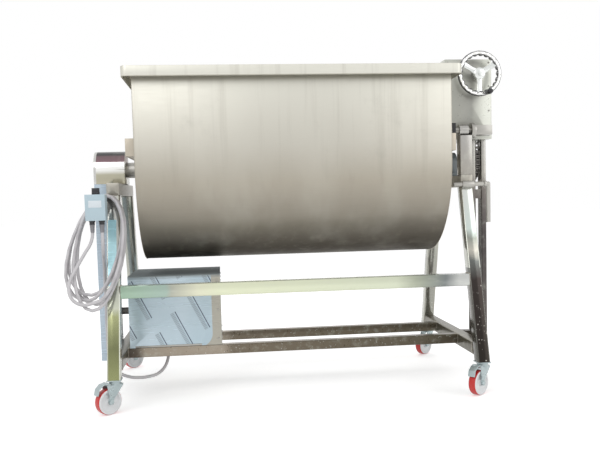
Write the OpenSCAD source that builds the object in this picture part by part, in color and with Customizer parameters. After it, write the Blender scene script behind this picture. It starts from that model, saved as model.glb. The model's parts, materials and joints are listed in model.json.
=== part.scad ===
// Tilting ribbon mixer for dry powder: a U-shaped trough on two end frames with casters.
// X runs along the trough, -Y is the front, +Z is up, and the floor is at zero.

/* [Trough] */
// Length of the trough over its end plates
trough_len = 1240; // [1100:10:1500]
// Outer radius of the trough's half-round bottom
trough_r = 380; // [360:5:400]
// Thickness of the wrapped sheet
trough_wall = 3; // [2:0.5:5]
// Thickness of the end plates
end_wall = 5; // [4:0.5:8]
// Height of the trough's axis above the floor
axis_z = 940; // [920:5:1000]
// Height of the straight walls above the axis
wall_rise = 370; // [330:5:400]
// How far the folded rim stands out
rim_over = 36; // [25:1:38]
// Height of the rim's skirt
rim_h = 40; // [25:1:60]
// Thickness of the rim's sheet
rim_wall = 3; // [2:0.5:4]
// Outer corner radius of the rim
rim_corner = 24; // [10:1:34]
// Length of the stiffening bars across the end plates
end_bar_len = 600; // [500:10:640]
// Height of the stiffening bars
end_bar_h = 70; // [50:5:90]
// How far the stiffening bars stand out
end_bar_w = 42; // [30:1:42]
// Sheet thickness of the stiffening bars
end_bar_wall = 3; // [2:0.5:5]

/* [End frames] */
// Distance from each end plate to the middle of its end frame
frame_gap = 104; // [98:2:130]
// Outer size of the square tubes
tube = 50; // [40:1:60]
// Wall of the square tubes
tube_wall = 2.5; // [1.5:0.5:4]
// Half spread of the legs at the foot
foot_y = 410; // [360:5:460]
// Half spread of the legs under the top beam
top_y = 215; // [190:5:240]
// Height of the trough's axis above the top beams
axis_rise = 59; // [54:1:66]
// Height of the upper rail's upper face
upper_rail_z = 478; // [440:2:520]
// Height of the base beams' upper face
base_z = 201; // [190:1:230]
// Outer size of the lower rails
rail = 40; // [30:1:48]
// Distance of the lower rails from the middle
rail_y = 157; // [120:1:200]

/* [Casters] */
// Height of a caster over its plate
caster_h = 130; // [124:1:160]
// Wheel diameter
wheel_d = 100; // [80:2:104]
// Wheel width
wheel_w = 32; // [24:1:36]
// Thickness of the red tread
tread = 8; // [5:1:12]
// Trail of the wheel behind the swivel axis
trail = 30; // [20:1:34]
// Heading of the casters, from the left towards the front
caster_turn = 39; // [0:1:90]
// Thickness of the fork's sheet
fork_wall = 3; // [2:0.5:4]
// Diameter of the wheel bolts
axle_d = 10; // [8:1:12]

/* [Agitator] */
// Shaft diameter
shaft_d = 40; // [30:1:45]
// Gap between the outer ribbon and the trough
ribbon_gap = 11; // [5:1:20]
// Width of the outer ribbon along the trough
outer_w = 60; // [40:1:80]
// Thickness of the ribbons
ribbon_t = 8; // [5:1:12]
// Outer radius of the inner ribbon
inner_r = 215; // [150:5:240]
// Width of the inner ribbon along the trough
inner_w = 50; // [30:1:70]
// Turns of each ribbon
turns = 1.5; // [1:0.5:2]
// Number of arm stations
stations = 5; // [5:4:9]
// Diameter of the arms
arm_d = 18; // [12:1:22]
// Gap between the ribbons' ends and the end plates
ribbon_end = 26; // [15:1:60]

/* [Chains and sprockets] */
// Chain pitch
pitch = 19.05; // [15:0.05:22]
// Teeth of the driven sprocket on the agitator
driven_teeth = 20; // [18:1:21]
// Teeth of the gearbox sprocket
output_teeth = 10; // [9:1:12]
// Teeth of the tilt sprocket on the trough
tilt_teeth = 24; // [20:2:26]
// Teeth of the small tilt sprocket
pinion_teeth = 12; // [10:1:13]
// Thickness of a sprocket's teeth
tooth_t = 9; // [7:0.5:10]
// Roller diameter of the chain
roller_d = 11; // [9:0.5:12]

/* [Drive] */
// Height of the gear motor's axis
drive_z = 335; // [320:5:400]
// Width of the drive box along the trough
drive_box_w = 378; // [340:2:440]
// Height of the drive box
drive_box_h = 297; // [270:1:320]
// Sheet thickness of covers and guards
sheet = 2; // [1.5:0.5:3]
// Radius of the motor's body
motor_r = 68; // [60:1:75]
// Length of the motor's body
motor_len = 190; // [160:5:210]
// Radius of the gear housing
gear_r = 74; // [66:1:80]
// Length of the gear housing
gear_len = 96; // [80:2:110]
// Diameter of the output shaft
output_d = 30; // [24:1:34]

/* [Guard] */
// Radius of the guard's round top
guard_r = 80; // [78:1:90]
// Width of the hood along the trough
hood_w = 127; // [124:1:140]
// Height of the guard's lower edge above the floor
guard_foot = 135; // [110:5:200]

/* [Tilt gear] */
// Width of the gear housing box
box_w = 204; // [196:2:230]
// Height of the gear housing box
box_h = 337; // [330:1:360]
// Depth of the gear housing box
box_d = 238; // [230:2:250]
// Height of the gear housing's lower face above the trough's axis
box_rise = 95; // [90:1:105]
// Module of the worm gear
worm_mod = 5; // [4:0.5:5]
// Teeth of the worm wheel
wheel_teeth = 30; // [24:1:30]
// Pitch radius of the worm
worm_r = 20; // [18:1:24]
// Width of the worm wheel's teeth
face_w = 20; // [14:1:22]
// Diameter of the cross shaft
cross_d = 25; // [20:1:28]
// Diameter of the handwheel shaft
worm_shaft_d = 20; // [16:1:22]
// Width of each column along the trough
column_w = 21; // [18:1:24]
// Clear slot between the two columns
slot_w = 26; // [24:1:30]

/* [Handwheel] */
// Outer diameter of the handwheel
hand_d = 192; // [180:2:200]
// Thickness of the rim
hand_rim = 22; // [16:1:26]
// Number of finger waves inside the rim
waves = 21; // [12:1:30]
// Length of the revolving knob
knob_len = 60; // [36:1:70]

/* [Lock and stop] */
// Diameter of the lock bolt
bolt_d = 18; // [12:1:20]
// Travel of the lock bolt
bolt_travel = 40; // [30:1:41]
// Length of the bolt's hanging handle
bolt_handle = 160; // [120:5:190]
// Diameter of the stop rod
stop_d = 25; // [20:1:28]

/* [Starter and cable] */
// Width of the starter box
starter_w = 72; // [64:1:80]
// Height of the starter box
starter_h = 96; // [84:1:110]
// Depth of the starter box
starter_d = 60; // [50:1:70]
// Diameter of the cable
cable_d = 13; // [10:1:13]
// Number of hanging loops
loops = 5; // [4:1:5]

/* [Clearances] */
// Gap between welded or seated neighbours
seat = 0.2; // [0.1:0.1:0.4]
// Radial running clearance of shafts and pins
run = 0.05; // [0.02:0.01:0.1]
// Gap between bodies that pass each other
pass = 0.3; // [0.3:0.1:0.6]

/* [Hidden] */
$fn = 48;

// One overrun serves every cut.
over = 1;
rim_z = axis_z + wall_rise;
half = trough_len / 2;
frame_x = half + frame_gap;
beam_z = axis_z - axis_rise;
box_z = axis_z + box_rise;

// Slope of the legs, and the leg's middle line as a function of height
leg_top_z = beam_z - tube;
leg_slope = (foot_y - top_y) / (leg_top_z - caster_h);
leg_cut = tube * sqrt(1 + leg_slope * leg_slope);
function leg_y(z) = foot_y - leg_slope * (z - caster_h);

// The guard stands over the left frame, the gear housing over the right one.
bearing_inset = 2;
bearing_w = tube - 2 * bearing_inset;
hood_in = frame_x - tube / 2 - 2 * sheet;
guard_out = hood_in + hood_w;
guard_in = frame_x + tube / 2 + pass;
chain_x = (guard_in + guard_out) / 2;
trunnion_r = 33;
boss_r = 38;
boss_w = 12;

// Roller chain and sprocket proportions
function pitch_r(teeth) = pitch / (2 * sin(180 / teeth));
plate_h_share = 0.88;
plate_t_share = 0.11;
inner_w_share = 0.62;
waist_share = 0.72;
tip_share = 0.24;
mouth_shares = [0.3, 0.52];
hub_wall = 10;
plate_h = pitch * plate_h_share;
plate_t = pitch * plate_t_share;
chain_in = pitch * inner_w_share;

// Gear housing and worm gear places
box_gap = 7.4;
box_x = half + rim_over + box_gap;
box_rear = 90;
box_y = box_d - box_rear;
hand_x = box_x + box_w * 2 / 3;
worm_c = worm_mod * wheel_teeth / 2 + worm_r;
wheel_y = 0;
hand_z = box_z + box_h * 0.8;
cross_z = hand_z - worm_c;
pinion_gap = 10;
tilt_x = hand_x + face_w + pinion_gap;
column_in = tilt_x - slot_w / 2 - column_w;
column_out = tilt_x + slot_w / 2 + column_w;
column_d = tube;
column_y = -85;

// Lock bolt and stop rod axes
bush_r = 14;
bolt_y = -(top_y + tube / 2) - bush_r - seat;
bolt_rise = 11;
bolt_z = beam_z - tube + bolt_rise;
socket_l = 25;
socket_wall = 10;
bolt_clear = 1.5;
bolt_tip = half + end_bar_w + bolt_clear;
bolt_out = 62;
bolt_end = frame_x + tube / 2 + bolt_out;
post_over = 10;
post_top = box_z + post_over;
stop_r = stop_d / 2;
stop_boss_r = 24;
stop_y = -top_y;
stop_z = post_top + stop_boss_r - tube_wall;
stop_boss_l = 38;
block_half = 20;
block_l = 68;

// The footprint's middle is the origin, so the machine is shifted by it.
hand_out = 42;
hand_y = -box_y - hand_out;
left_reach = guard_out;
right_reach = hand_x + hand_d / 2;
fork_gap = 2;
fork_in = wheel_w / 2 + fork_gap;
fork_wide = fork_in + fork_wall;
cheek_back = 26;
pedal_x = 36;
pedal_l = 46;
pedal_inset = 2;
pedal_w = fork_in - 2 * pass;
pedal_tip = pedal_x + pedal_l;
wheel_reach = (trail + wheel_d / 2) * sin(caster_turn) + wheel_w / 2 * cos(caster_turn);
pedal_reach = pedal_tip * sin(caster_turn) + (pedal_w - pedal_inset) * cos(caster_turn);
front_reach = foot_y + max(wheel_reach, pedal_reach);
rear_reach = foot_y + cheek_back * sin(caster_turn) + fork_wide * cos(caster_turn);
mid_x = (right_reach - left_reach) / 2;
mid_y = (rear_reach - front_reach) / 2;

module stand() { translate([-mid_x, -mid_y, 0]) children(); }

// Extrudes a drawing of Y and Z along X, from x0 for a length.
module along_x(x0, length) {
    rotate([90, 0, 90]) translate([0, 0, x0]) linear_extrude(length) children();
}

// Extrudes a drawing of X and Z along Y, from y0 for a length.
module along_y(y0, length) {
    translate([0, y0, 0]) mirror([0, 1, 0]) rotate([90, 0, 0]) linear_extrude(length) children();
}

// Round bar or bore along X, through the point y, z
module bar_x(x0, length, r, y, z) {
    translate([x0, y, z]) rotate([0, 90, 0]) cylinder(h = length, r = r);
}

// Round bar or bore along Y, through the point x, z
module bar_y(y0, length, r, x, z) {
    translate([x, y0, z]) rotate([-90, 0, 0]) cylinder(h = length, r = r);
}

// Box from one corner to the other
module block(low, high) { translate(low) cube(high - low); }

// Box-section tube between two corners, open along one axis (0, 1 or 2)
module box_tube(low, high, wall, axis) {
    pad = [for (k = [0:2]) k == axis ? -over : wall];
    difference() {
        block(low, high);
        block(low + pad, high - pad);
    }
}

// Trough body

module u_outline(r, top) {
    circle(r, $fn = 96);
    translate([-r, 0]) square([2 * r, top]);
}

module u_profile(r, top, lid) {
    difference() {
        u_outline(r, top);
        translate([-2 * r, top]) square([4 * r, lid]);
    }
}

module trough_shell() stand() color("silver") at_axis() {
    difference() {
        along_x(-half, trough_len) u_profile(trough_r, wall_rise, trough_r);
        along_x(-half + end_wall, trough_len - 2 * end_wall)
            u_outline(trough_r - trough_wall, wall_rise + over);
        bar_x(-half - over, trough_len + 2 * over, shaft_d / 2 + run, 0, 0);
    }
}

module at_axis() { translate([0, 0, axis_z]) children(); }

module rounded_plan(length, width, corner) {
    square([length - 2 * corner, width], center = true);
    square([length, width - 2 * corner], center = true);
    for (sx = [-1, 1], sy = [-1, 1])
        translate([sx * (length / 2 - corner), sy * (width / 2 - corner)]) circle(corner);
}

module rim_plan(inset) {
    rounded_plan(trough_len + 2 * rim_over - 2 * inset, 2 * trough_r + 2 * rim_over - 2 * inset,
                 rim_corner - inset);
}

module trough_rim() stand() color("gainsboro") {
    translate([0, 0, rim_z - rim_wall]) linear_extrude(rim_wall) difference() {
        rim_plan(0);
        square([trough_len, 2 * trough_r], center = true);
    }
    translate([0, 0, rim_z - rim_h]) linear_extrude(rim_h - rim_wall / 2) difference() {
        rim_plan(0);
        rim_plan(rim_wall);
    }
}

// Folded channel with closed ends, open towards the end plate
bar_gap = 2;
bar_z = axis_z + boss_r + bar_gap;
module end_bar(side) {
    x_in = side * half;
    x_out = side * (half + end_bar_w);
    difference() {
        block([min(x_in, x_out), -end_bar_len / 2, bar_z],
              [max(x_in, x_out), end_bar_len / 2, bar_z + end_bar_h]);
        block([min(x_in, x_out) + (side > 0 ? -over : end_bar_wall),
               -end_bar_len / 2 + end_bar_wall, bar_z + end_bar_wall],
              [max(x_in, x_out) + (side > 0 ? -end_bar_wall : over),
               end_bar_len / 2 - end_bar_wall, bar_z + end_bar_h - end_bar_wall]);
    }
}
module left_end_bar() stand() color("tan") end_bar(-1);
module right_end_bar() stand() color("whitesmoke") end_bar(1);

sleeve_over = 3;
sleeve_end = frame_x + tube / 2 + sleeve_over;
module left_trunnion() stand() color("gray") difference() {
    union() {
        bar_x(-half - boss_w, boss_w, boss_r, 0, axis_z);
        bar_x(-sleeve_end, sleeve_end - half - boss_w / 2, trunnion_r, 0, axis_z);
    }
    bar_x(-sleeve_end - over, sleeve_end - half + 2 * over, shaft_d / 2 + run, 0, axis_z);
}

// The right trunnion is blind inside and ends in a stub for the tilt sprocket.
blind = 90;
stub_r = 20;
stub_end = tilt_x + slot_w;
module right_trunnion() stand() color("gray") difference() {
    union() {
        bar_x(half, boss_w, boss_r, 0, axis_z);
        bar_x(half + boss_w / 2, sleeve_end - half - boss_w / 2, trunnion_r, 0, axis_z);
        bar_x(sleeve_end - over, stub_end - sleeve_end + over, stub_r, 0, axis_z);
    }
    bar_x(half - over, blind + over, shaft_d / 2 + run, 0, axis_z);
}

pad_h = 40;
pad_w = 22;
module stop_pad() stand() color("black")
    block([half + end_bar_w - pad_w, -end_bar_len / 2, bar_z + end_bar_h],
          [half + end_bar_w, stop_y - stop_r - pass, bar_z + end_bar_h + pad_h]);

// Four keeper bars welded to the end wall, round a square gap that takes the bolt's tip
keeper_in = bolt_d / 2 + 4 * pass;
keeper_out = keeper_in + socket_wall;
module keeper_bar(y0, y1, z0, z1)
    block([half, bolt_y + y0, bolt_z + z0], [half + socket_l, bolt_y + y1, bolt_z + z1]);
module lock_socket() stand() color("silver") {
    keeper_bar(-keeper_out, keeper_out, keeper_in, keeper_out);
    keeper_bar(-keeper_out, keeper_out, -keeper_out, -keeper_in);
    keeper_bar(-keeper_out, -keeper_in, pass - keeper_in, keeper_in - pass);
    keeper_bar(keeper_in, keeper_out, pass - keeper_in, keeper_in - pass);
}

// Sprockets

// Flat toothed disc in the plane, with a roller gullet at angle 0
module sprocket_teeth(teeth) {
    r = pitch_r(teeth);
    gullet = roller_d / 2 + pass;
    difference() {
        circle(r + tip_share * pitch, $fn = 72);
        for (k = [0:teeth - 1]) rotate(k * 360 / teeth) {
            translate([r, 0]) circle(gullet, $fn = 24);
            polygon([[r, gullet], [r, -gullet], [r + mouth_shares[0] * pitch, -mouth_shares[1] * pitch],
                     [r + mouth_shares[0] * pitch, mouth_shares[1] * pitch]]);
        }
    }
}

module sprocket(x, teeth, turn, hub_r, hub_l, bore_r, y, z) {
    translate([0, y, z]) difference() {
        union() {
            along_x(x - tooth_t / 2, tooth_t) rotate(turn) sprocket_teeth(teeth);
            bar_x(x - hub_l / 2, hub_l, hub_r, 0, 0);
        }
        if (bore_r > 0) bar_x(x - hub_l, 2 * hub_l, bore_r, 0, 0);
    }
}

// Chain route round a lower and an upper sprocket: the angle of the upper end of the two runs
function run_angle(a, b, ra, rb) =
    let (d = b - a, c = norm(d), up = atan2(d[1], d[0])) [up, acos((ra - rb) / c)];
function on_circle(c, r, t) = c + r * [cos(t), sin(t)];

// Pins of the chain: over sprocket b, down the left run, round sprocket a and up again.
// The first pin past a sprocket is on the straight run, one pitch from the last one in the teeth.
function leaving_pin(c, teeth, from, span) =
    let (r = pitch_r(teeth), step = 360 / teeth, last = on_circle(c, r, from + floor(span / step) * step),
         end = on_circle(c, r, from + span), d = [-sin(from + span), cos(from + span)],
         w = end - last, along = w * d)
    end + (sqrt(along * along - w * w + pitch * pitch) - along) * d;
function wrap_pins(c, teeth, from, span) =
    let (r = pitch_r(teeth), step = 360 / teeth, n = floor(span / step))
    [for (k = [0:n]) on_circle(c, r, from + k * step)];
function span_pins(p, q) =
    let (n = max(1, round(norm(q - p) / pitch))) [for (k = [1:n - 1]) p + (q - p) * k / n];
function chain_pins(a, ta, b, tb) =
    let (ang = run_angle(a, b, pitch_r(ta), pitch_r(tb)),
         wb = 2 * ang[1], wa = 2 * (180 - ang[1]),
         top = wrap_pins(b, tb, ang[0] - wb / 2, wb), off_top = leaving_pin(b, tb, ang[0] - wb / 2, wb),
         low = wrap_pins(a, ta, ang[0] + ang[1], wa), off_low = leaving_pin(a, ta, ang[0] + ang[1], wa))
    concat(top, [off_top], span_pins(off_top, low[0]), low, [off_low], span_pins(off_low, top[0]));
function first_turn(a, ta, b, tb, which) =
    let (ang = run_angle(a, b, pitch_r(ta), pitch_r(tb)))
    which == "top" ? ang[0] - ang[1] : ang[0] + ang[1];

// Plates follow the pins as a scalloped strip on each side, and rollers join the two.
module chain_strip(pins) {
    n = len(pins);
    for (k = [0:n - 1]) {
        p = pins[k];
        d = pins[(k + 1) % n] - p;
        translate(p) {
            circle(d = plate_h, $fn = 12);
            rotate(atan2(d[1], d[0])) translate([0, -plate_h * waist_share / 2])
                square([norm(d), plate_h * waist_share]);
        }
    }
}

// The strip is hollow inside, so only the links' own width is kept.
module roller_chain(x, pins) {
    for (s = [-1, 1]) along_x(x + s * (chain_in + plate_t) / 2 - plate_t / 2, plate_t) chain_strip(pins);
    for (p = pins)
        bar_x(x - (chain_in + plate_t) / 2, chain_in + plate_t, roller_d / 2 - pass, p[0], p[1], $fn = 16);
}

axis_c = [0, axis_z];
drive_c = [0, drive_z];
cross_c = [wheel_y, cross_z];

module tilt_sprocket() stand() color("dimgray")
    sprocket(tilt_x, tilt_teeth, first_turn(axis_c, tilt_teeth, cross_c, pinion_teeth, "low"),
             stub_r + hub_wall, slot_w - 2 * pass, stub_r + run, 0, axis_z);
module tilt_chain() stand() color("dimgray")
    roller_chain(tilt_x, chain_pins(axis_c, tilt_teeth, cross_c, pinion_teeth));
module drive_chain() stand() color("dimgray")
    roller_chain(-chain_x, chain_pins(drive_c, output_teeth, axis_c, driven_teeth));

// Agitator

outer_r = trough_r - trough_wall - ribbon_gap;
ribbon_len = trough_len - 2 * end_wall - 2 * ribbon_end;
shaft_left = -(chain_x + pitch);
shaft_play = 2;
module agitator_shaft() stand() color("silver")
    bar_x(shaft_left, half + blind - shaft_play - shaft_left, shaft_d / 2, 0, axis_z);

// Angle of a ribbon, in Y and Z, at a place along the trough: the two start on opposite sides
function ribbon_turn(x, hand) = hand * (360 * turns * x / ribbon_len - 90);
function station_x(k) = (k / (stations - 1) - 0.5) * (ribbon_len - outer_w);
ribbon_step = 10;

module ribbon(r, w, hand) {
    length = ribbon_len - w;
    n = round(360 * turns * length / ribbon_len / ribbon_step / (stations - 1)) * (stations - 1);
    ring = function(k) let (x = (k / n - 0.5) * length, t = ribbon_turn(x, hand))
        [for (c = [[-w / 2, r], [w / 2, r], [w / 2, r - ribbon_t], [-w / 2, r - ribbon_t]])
            [x + c[0], c[1] * cos(t), axis_z + c[1] * sin(t)]];
    pts = [for (k = [0:n]) each ring(k)];
    side = [for (k = [0:n - 1], j = [0:3])
        let (a = 4 * k + j, b = 4 * k + (j + 1) % 4)
        [[a, b, b + 4], [a, b + 4, a + 4]]];
    faces = concat([[[3, 2, 1], [3, 1, 0]]], side,
                   [[[4 * n, 4 * n + 1, 4 * n + 2], [4 * n, 4 * n + 2, 4 * n + 3]]]);
    polyhedron(pts, [for (pair = faces, f = pair) hand > 0 ? f : [f[2], f[1], f[0]]]);
}
module outer_ribbon() stand() color("silver") ribbon(outer_r, outer_w, 1);
module inner_ribbon() stand() color("silver") ribbon(inner_r, inner_w, -1);

collar_wall = 9;
collar_over = 4;
collar_r = shaft_d / 2 + collar_wall;
collar_w = arm_d + 2 * collar_over;
arm_gap = 0.9;
module arm(x, turn, reach) {
    translate([x, 0, axis_z]) rotate([turn, 0, 0]) rotate([-90, 0, 0])
        cylinder(h = reach - ribbon_t - arm_gap, r = arm_d / 2);
}
module agitator_arms() stand() color("gray") difference() {
    for (k = [0:stations - 1]) {
        x = station_x(k);
        union() {
            bar_x(x - collar_w / 2, collar_w, collar_r, 0, axis_z);
            arm(x, ribbon_turn(x, 1), outer_r);
            arm(x, ribbon_turn(x, -1), inner_r);
        }
    }
    bar_x(-half, trough_len, shaft_d / 2 + run, 0, axis_z);
}

module driven_sprocket() stand() color("dimgray")
    sprocket(-chain_x, driven_teeth, first_turn(drive_c, output_teeth, axis_c, driven_teeth, "top"),
             shaft_d / 2 + hub_wall, chain_in + hub_wall, shaft_d / 2 + run, 0, axis_z);

// Drive

base_t = 8;
drive_gap = 9;
gear_in = 28;
drive_l = frame_x - tube / 2 - drive_gap;
gear_x = -drive_l + gear_in;
motor_x = gear_x + gear_len;
base_over = 6;
base_short = 20;
base_from = gear_x - base_over;
base_to = motor_x + motor_len - base_short;
module motor_base() stand() color("gray")
    block([base_from, -rail_y - rail / 2, base_z + pass],
          [base_to, rail_y + rail / 2, base_z + pass + base_t]);

nose_l = 10;
nose_share = 0.6;
foot_in = 8;
arch_share = 0.5;
module drive_gearbox() stand() color("steelblue") {
    bar_x(gear_x, gear_len - seat, gear_r, 0, drive_z);
    bar_x(gear_x - nose_l, nose_l + over, gear_r * nose_share, 0, drive_z);
    difference() {
        block([gear_x + foot_in, -gear_r, base_z + pass + base_t + seat],
              [gear_x + gear_len - foot_in, gear_r, drive_z]);
        block([gear_x, -gear_r * arch_share, base_z],
              [gear_x + gear_len, gear_r * arch_share, drive_z - gear_r - foot_in]);
    }
}

fins = 24;
fin_t = 3;
fin_h = 8;
fin_in = 8;
shell_in = 6;
motor_cap = 44;
flange_t = 12;
flange_over = 2;
terminal_from = 40;
terminal_l = 76;
terminal_w = 68;
terminal_sink = 12;
terminal_h = 26;
module drive_motor() stand() color("steelblue") {
    bar_x(motor_x, motor_len, motor_r - shell_in, 0, drive_z);
    for (k = [0:fins - 1]) translate([motor_x + fin_in, 0, drive_z]) rotate([k * 360 / fins, 0, 0])
        translate([0, -fin_t / 2, motor_r - fin_h - over])
            cube([motor_len - fin_in - motor_cap + over, fin_t, fin_h]);
    bar_x(motor_x + motor_len - motor_cap, motor_cap, motor_r, 0, drive_z);
    bar_x(motor_x, flange_t, motor_r + flange_over, 0, drive_z);
    block([motor_x + terminal_from, -terminal_w / 2, drive_z + motor_r - terminal_sink],
          [motor_x + terminal_from + terminal_l, terminal_w / 2, drive_z + motor_r + terminal_h]);
}

module output_sprocket() stand() color("dimgray") {
    sprocket(-chain_x, output_teeth, first_turn(drive_c, output_teeth, axis_c, driven_teeth, "low"),
             output_d / 2 + hub_wall / 2, chain_in + hub_wall / 2, 0, 0, drive_z);
    bar_x(-chain_x - pitch, chain_x + pitch + gear_x - nose_l - pass, output_d / 2, 0, drive_z);
}

module guard_outline(r, foot) {
    intersection() {
        union() {
            circle(r, $fn = 96);
            translate([-r, -axis_z]) square([2 * r, axis_z]);
        }
        translate([-r, foot - axis_z]) square([2 * r, axis_z]);
    }
}

module guard_hood() stand() color("lightgray") at_axis() {
    foot = beam_z + pass;
    difference() {
        along_x(-guard_out, hood_w) guard_outline(guard_r, foot);
        along_x(-guard_out + sheet, hood_w - 2 * sheet) guard_outline(guard_r - sheet, foot - over);
        bar_x(-hood_in - 2 * sheet, 4 * sheet, trunnion_r + sheet, 0, 0);
    }
}

module chain_guard() stand() color("lightblue") difference() {
    block([-guard_out, -guard_r, guard_foot], [-guard_in, guard_r, beam_z + pass - seat]);
    block([-guard_out + sheet, -guard_r + sheet, guard_foot + sheet],
          [-guard_in - sheet, guard_r - sheet, beam_z + over]);
    bar_x(-guard_in - 2 * sheet, 4 * sheet, output_d / 2 + 2 * sheet, 0, drive_z);
}

module drive_box() stand() color("lightblue") difference() {
    block([-drive_l, -rail_y - rail / 2, base_z + pass],
          [-drive_l + drive_box_w, rail_y + rail / 2, base_z + pass + drive_box_h]);
    block([-drive_l + sheet, -rail_y - rail / 2 + sheet, base_z - over],
          [-drive_l + drive_box_w - sheet, rail_y + rail / 2 - sheet, base_z + pass + drive_box_h - sheet]);
    bar_x(-drive_l - sheet, 3 * sheet, output_d / 2 + 2 * sheet, 0, drive_z);
    // Foot of the motor base passes under the side walls.
    block([base_from - pass, -rail_y - rail, base_z - over],
          [base_to + pass, rail_y + rail, base_z + base_t + 2 * pass]);
}

// Frame

module leg_outline(cut, low, high) {
    polygon([for (p = [[-1, low], [1, low], [1, high], [-1, high]])
        [leg_y(p[1]) + p[0] * cut / 2, p[1]]]);
}
module leg(x, side) {
    mirror([0, side < 0 ? 1 : 0, 0]) difference() {
        along_x(x - tube / 2, tube) leg_outline(leg_cut, caster_h, leg_top_z - seat);
        along_x(x - tube / 2 + tube_wall, tube - 2 * tube_wall)
            leg_outline(leg_cut - 2 * tube_wall, caster_h - over, leg_top_z + over);
    }
}
module legs() stand() color("silver") for (x = [-frame_x, frame_x], s = [-1, 1]) leg(x, s);

// A top beam over the legs and a base beam between their feet
module beams(x) {
    box_tube([x - tube / 2, -top_y - tube / 2, beam_z - tube], [x + tube / 2, top_y + tube / 2, beam_z],
             tube_wall, 1);
    low = base_z - tube;
    difference() {
        along_x(x - tube / 2, tube) polygon([for (p = [[-1, low], [1, low], [1, base_z], [-1, base_z]])
            [p[0] * (leg_y(p[1]) - leg_cut / 2 - seat), p[1]]]);
        block([x - tube / 2 + tube_wall, -foot_y, low + tube_wall],
              [x + tube / 2 - tube_wall, foot_y, base_z - tube_wall]);
    }
}
module left_beams() stand() color("silver") beams(-frame_x);
module right_beams() stand() color("silver") beams(frame_x);

rail_half = frame_x - tube / 2 - seat;
module upper_rail() stand() color("silver") {
    y = -leg_y(upper_rail_z - tube / 2);
    box_tube([-rail_half, y - tube / 2, upper_rail_z - tube], [rail_half, y + tube / 2, upper_rail_z],
             tube_wall, 0);
}
module lower_rails() stand() color("tan") for (s = [-1, 1])
    box_tube([-rail_half, s * rail_y - rail / 2, base_z - rail], [rail_half, s * rail_y + rail / 2, base_z],
             tube_wall, 0);

// Two columns with stubs to the frame and a tie below the sprocket
tie_in = 5;
module tie(x0, x1, z) {
    box_tube([x0, column_y + tie_in, z], [x1, column_y + column_d - tie_in, z + tube - 2 * tie_in],
             tube_wall, 0);
}
module gearbox_columns() stand() color("silver") {
    for (x = [column_in, tilt_x + slot_w / 2])
        box_tube([x, column_y, base_z - tube], [x + column_w, column_y + column_d, box_z - seat],
                 tube_wall, 2);
    for (z = [base_z - tube + tie_in, beam_z - tube + tie_in])
        tie(frame_x + tube / 2 + seat, column_in + tube_wall / 2, z);
    for (z = [base_z - tube + tie_in, leg_top_z - tube])
        tie(tilt_x - slot_w / 2 - tube_wall / 2, tilt_x + slot_w / 2 + tube_wall / 2, z);
    box_tube([frame_x - column_w, bearing_half + tube_wall, beam_z + seat],
             [frame_x + column_w, bearing_half + tube_wall + column_w, box_z - seat], tube_wall, 2);
}
module front_post() stand() color("silver") {
    box_tube([frame_x - tube / 2, -top_y - tube / 2, beam_z + seat],
             [frame_x + tube / 2, -top_y + tube / 2, post_top], tube_wall, 2);
    difference() {
        bar_x(frame_x - tube / 2, stop_boss_l, stop_boss_r, stop_y, stop_z);
        bar_x(frame_x - tube, 2 * tube, stop_r + run, stop_y, stop_z);
    }
}

// Split bearing housing with feet and bolt heads
foot_t = 14;
bearing_r = 48;
bearing_clear = 3;
bearing_half = guard_r - sheet - bearing_clear;
foot_bolt_in = 13;
foot_bolt_r = 9;
foot_bolt_h = 8;
module bearing(x) {
    difference() {
        union() {
            bar_x(x - bearing_w / 2, bearing_w, bearing_r, 0, axis_z);
            block([x - bearing_w / 2, -bearing_half, beam_z + seat],
                  [x + bearing_w / 2, bearing_half, beam_z + seat + foot_t]);
            block([x - bearing_w / 2, -bearing_r, beam_z + seat], [x + bearing_w / 2, bearing_r, axis_z]);
            for (s = [-1, 1])
                translate([x, s * (bearing_half - foot_bolt_in), beam_z + seat + foot_t - over])
                    cylinder(h = foot_bolt_h, r = foot_bolt_r, $fn = 6);
        }
        bar_x(x - bearing_w, 2 * bearing_w, trunnion_r + run, 0, axis_z);
    }
}
module left_bearing() stand() color("darkgray") bearing(-frame_x);
module right_bearing() stand() color("darkgray") bearing(frame_x);

// Tilt gear

boss_l = 12;
chain_slot_share = 3.7;
module gear_housing() stand() color("whitesmoke") difference() {
    union() {
        difference() {
            block([box_x, -box_y, box_z], [box_x + box_w, -box_y + box_d, box_z + box_h]);
            block([box_x + sheet, -box_y + sheet, box_z + sheet],
                  [box_x + box_w - sheet, -box_y + box_d - sheet, box_z + box_h - sheet]);
            block([tilt_x - pitch, wheel_y - chain_slot_share * pitch, box_z - over],
                  [tilt_x + pitch, wheel_y + chain_slot_share * pitch, box_z + 2 * sheet]);
        }
        bar_x(box_x, boss_l, cross_d, wheel_y, cross_z);
        bar_x(box_x + box_w - boss_l, boss_l, cross_d, wheel_y, cross_z);
        bar_y(-box_y - boss_l + sheet, boss_l + sheet, worm_shaft_d, hand_x, hand_z);
        bar_y(-box_y + box_d - boss_l, boss_l, worm_shaft_d, hand_x, hand_z);
    }
    bar_x(box_x - over, box_w + 2 * over, cross_d / 2 + run, wheel_y, cross_z);
    bar_y(-box_y - 2 * boss_l, box_d + 3 * boss_l, worm_shaft_d / 2 + run, hand_x, hand_z);
}

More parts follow.
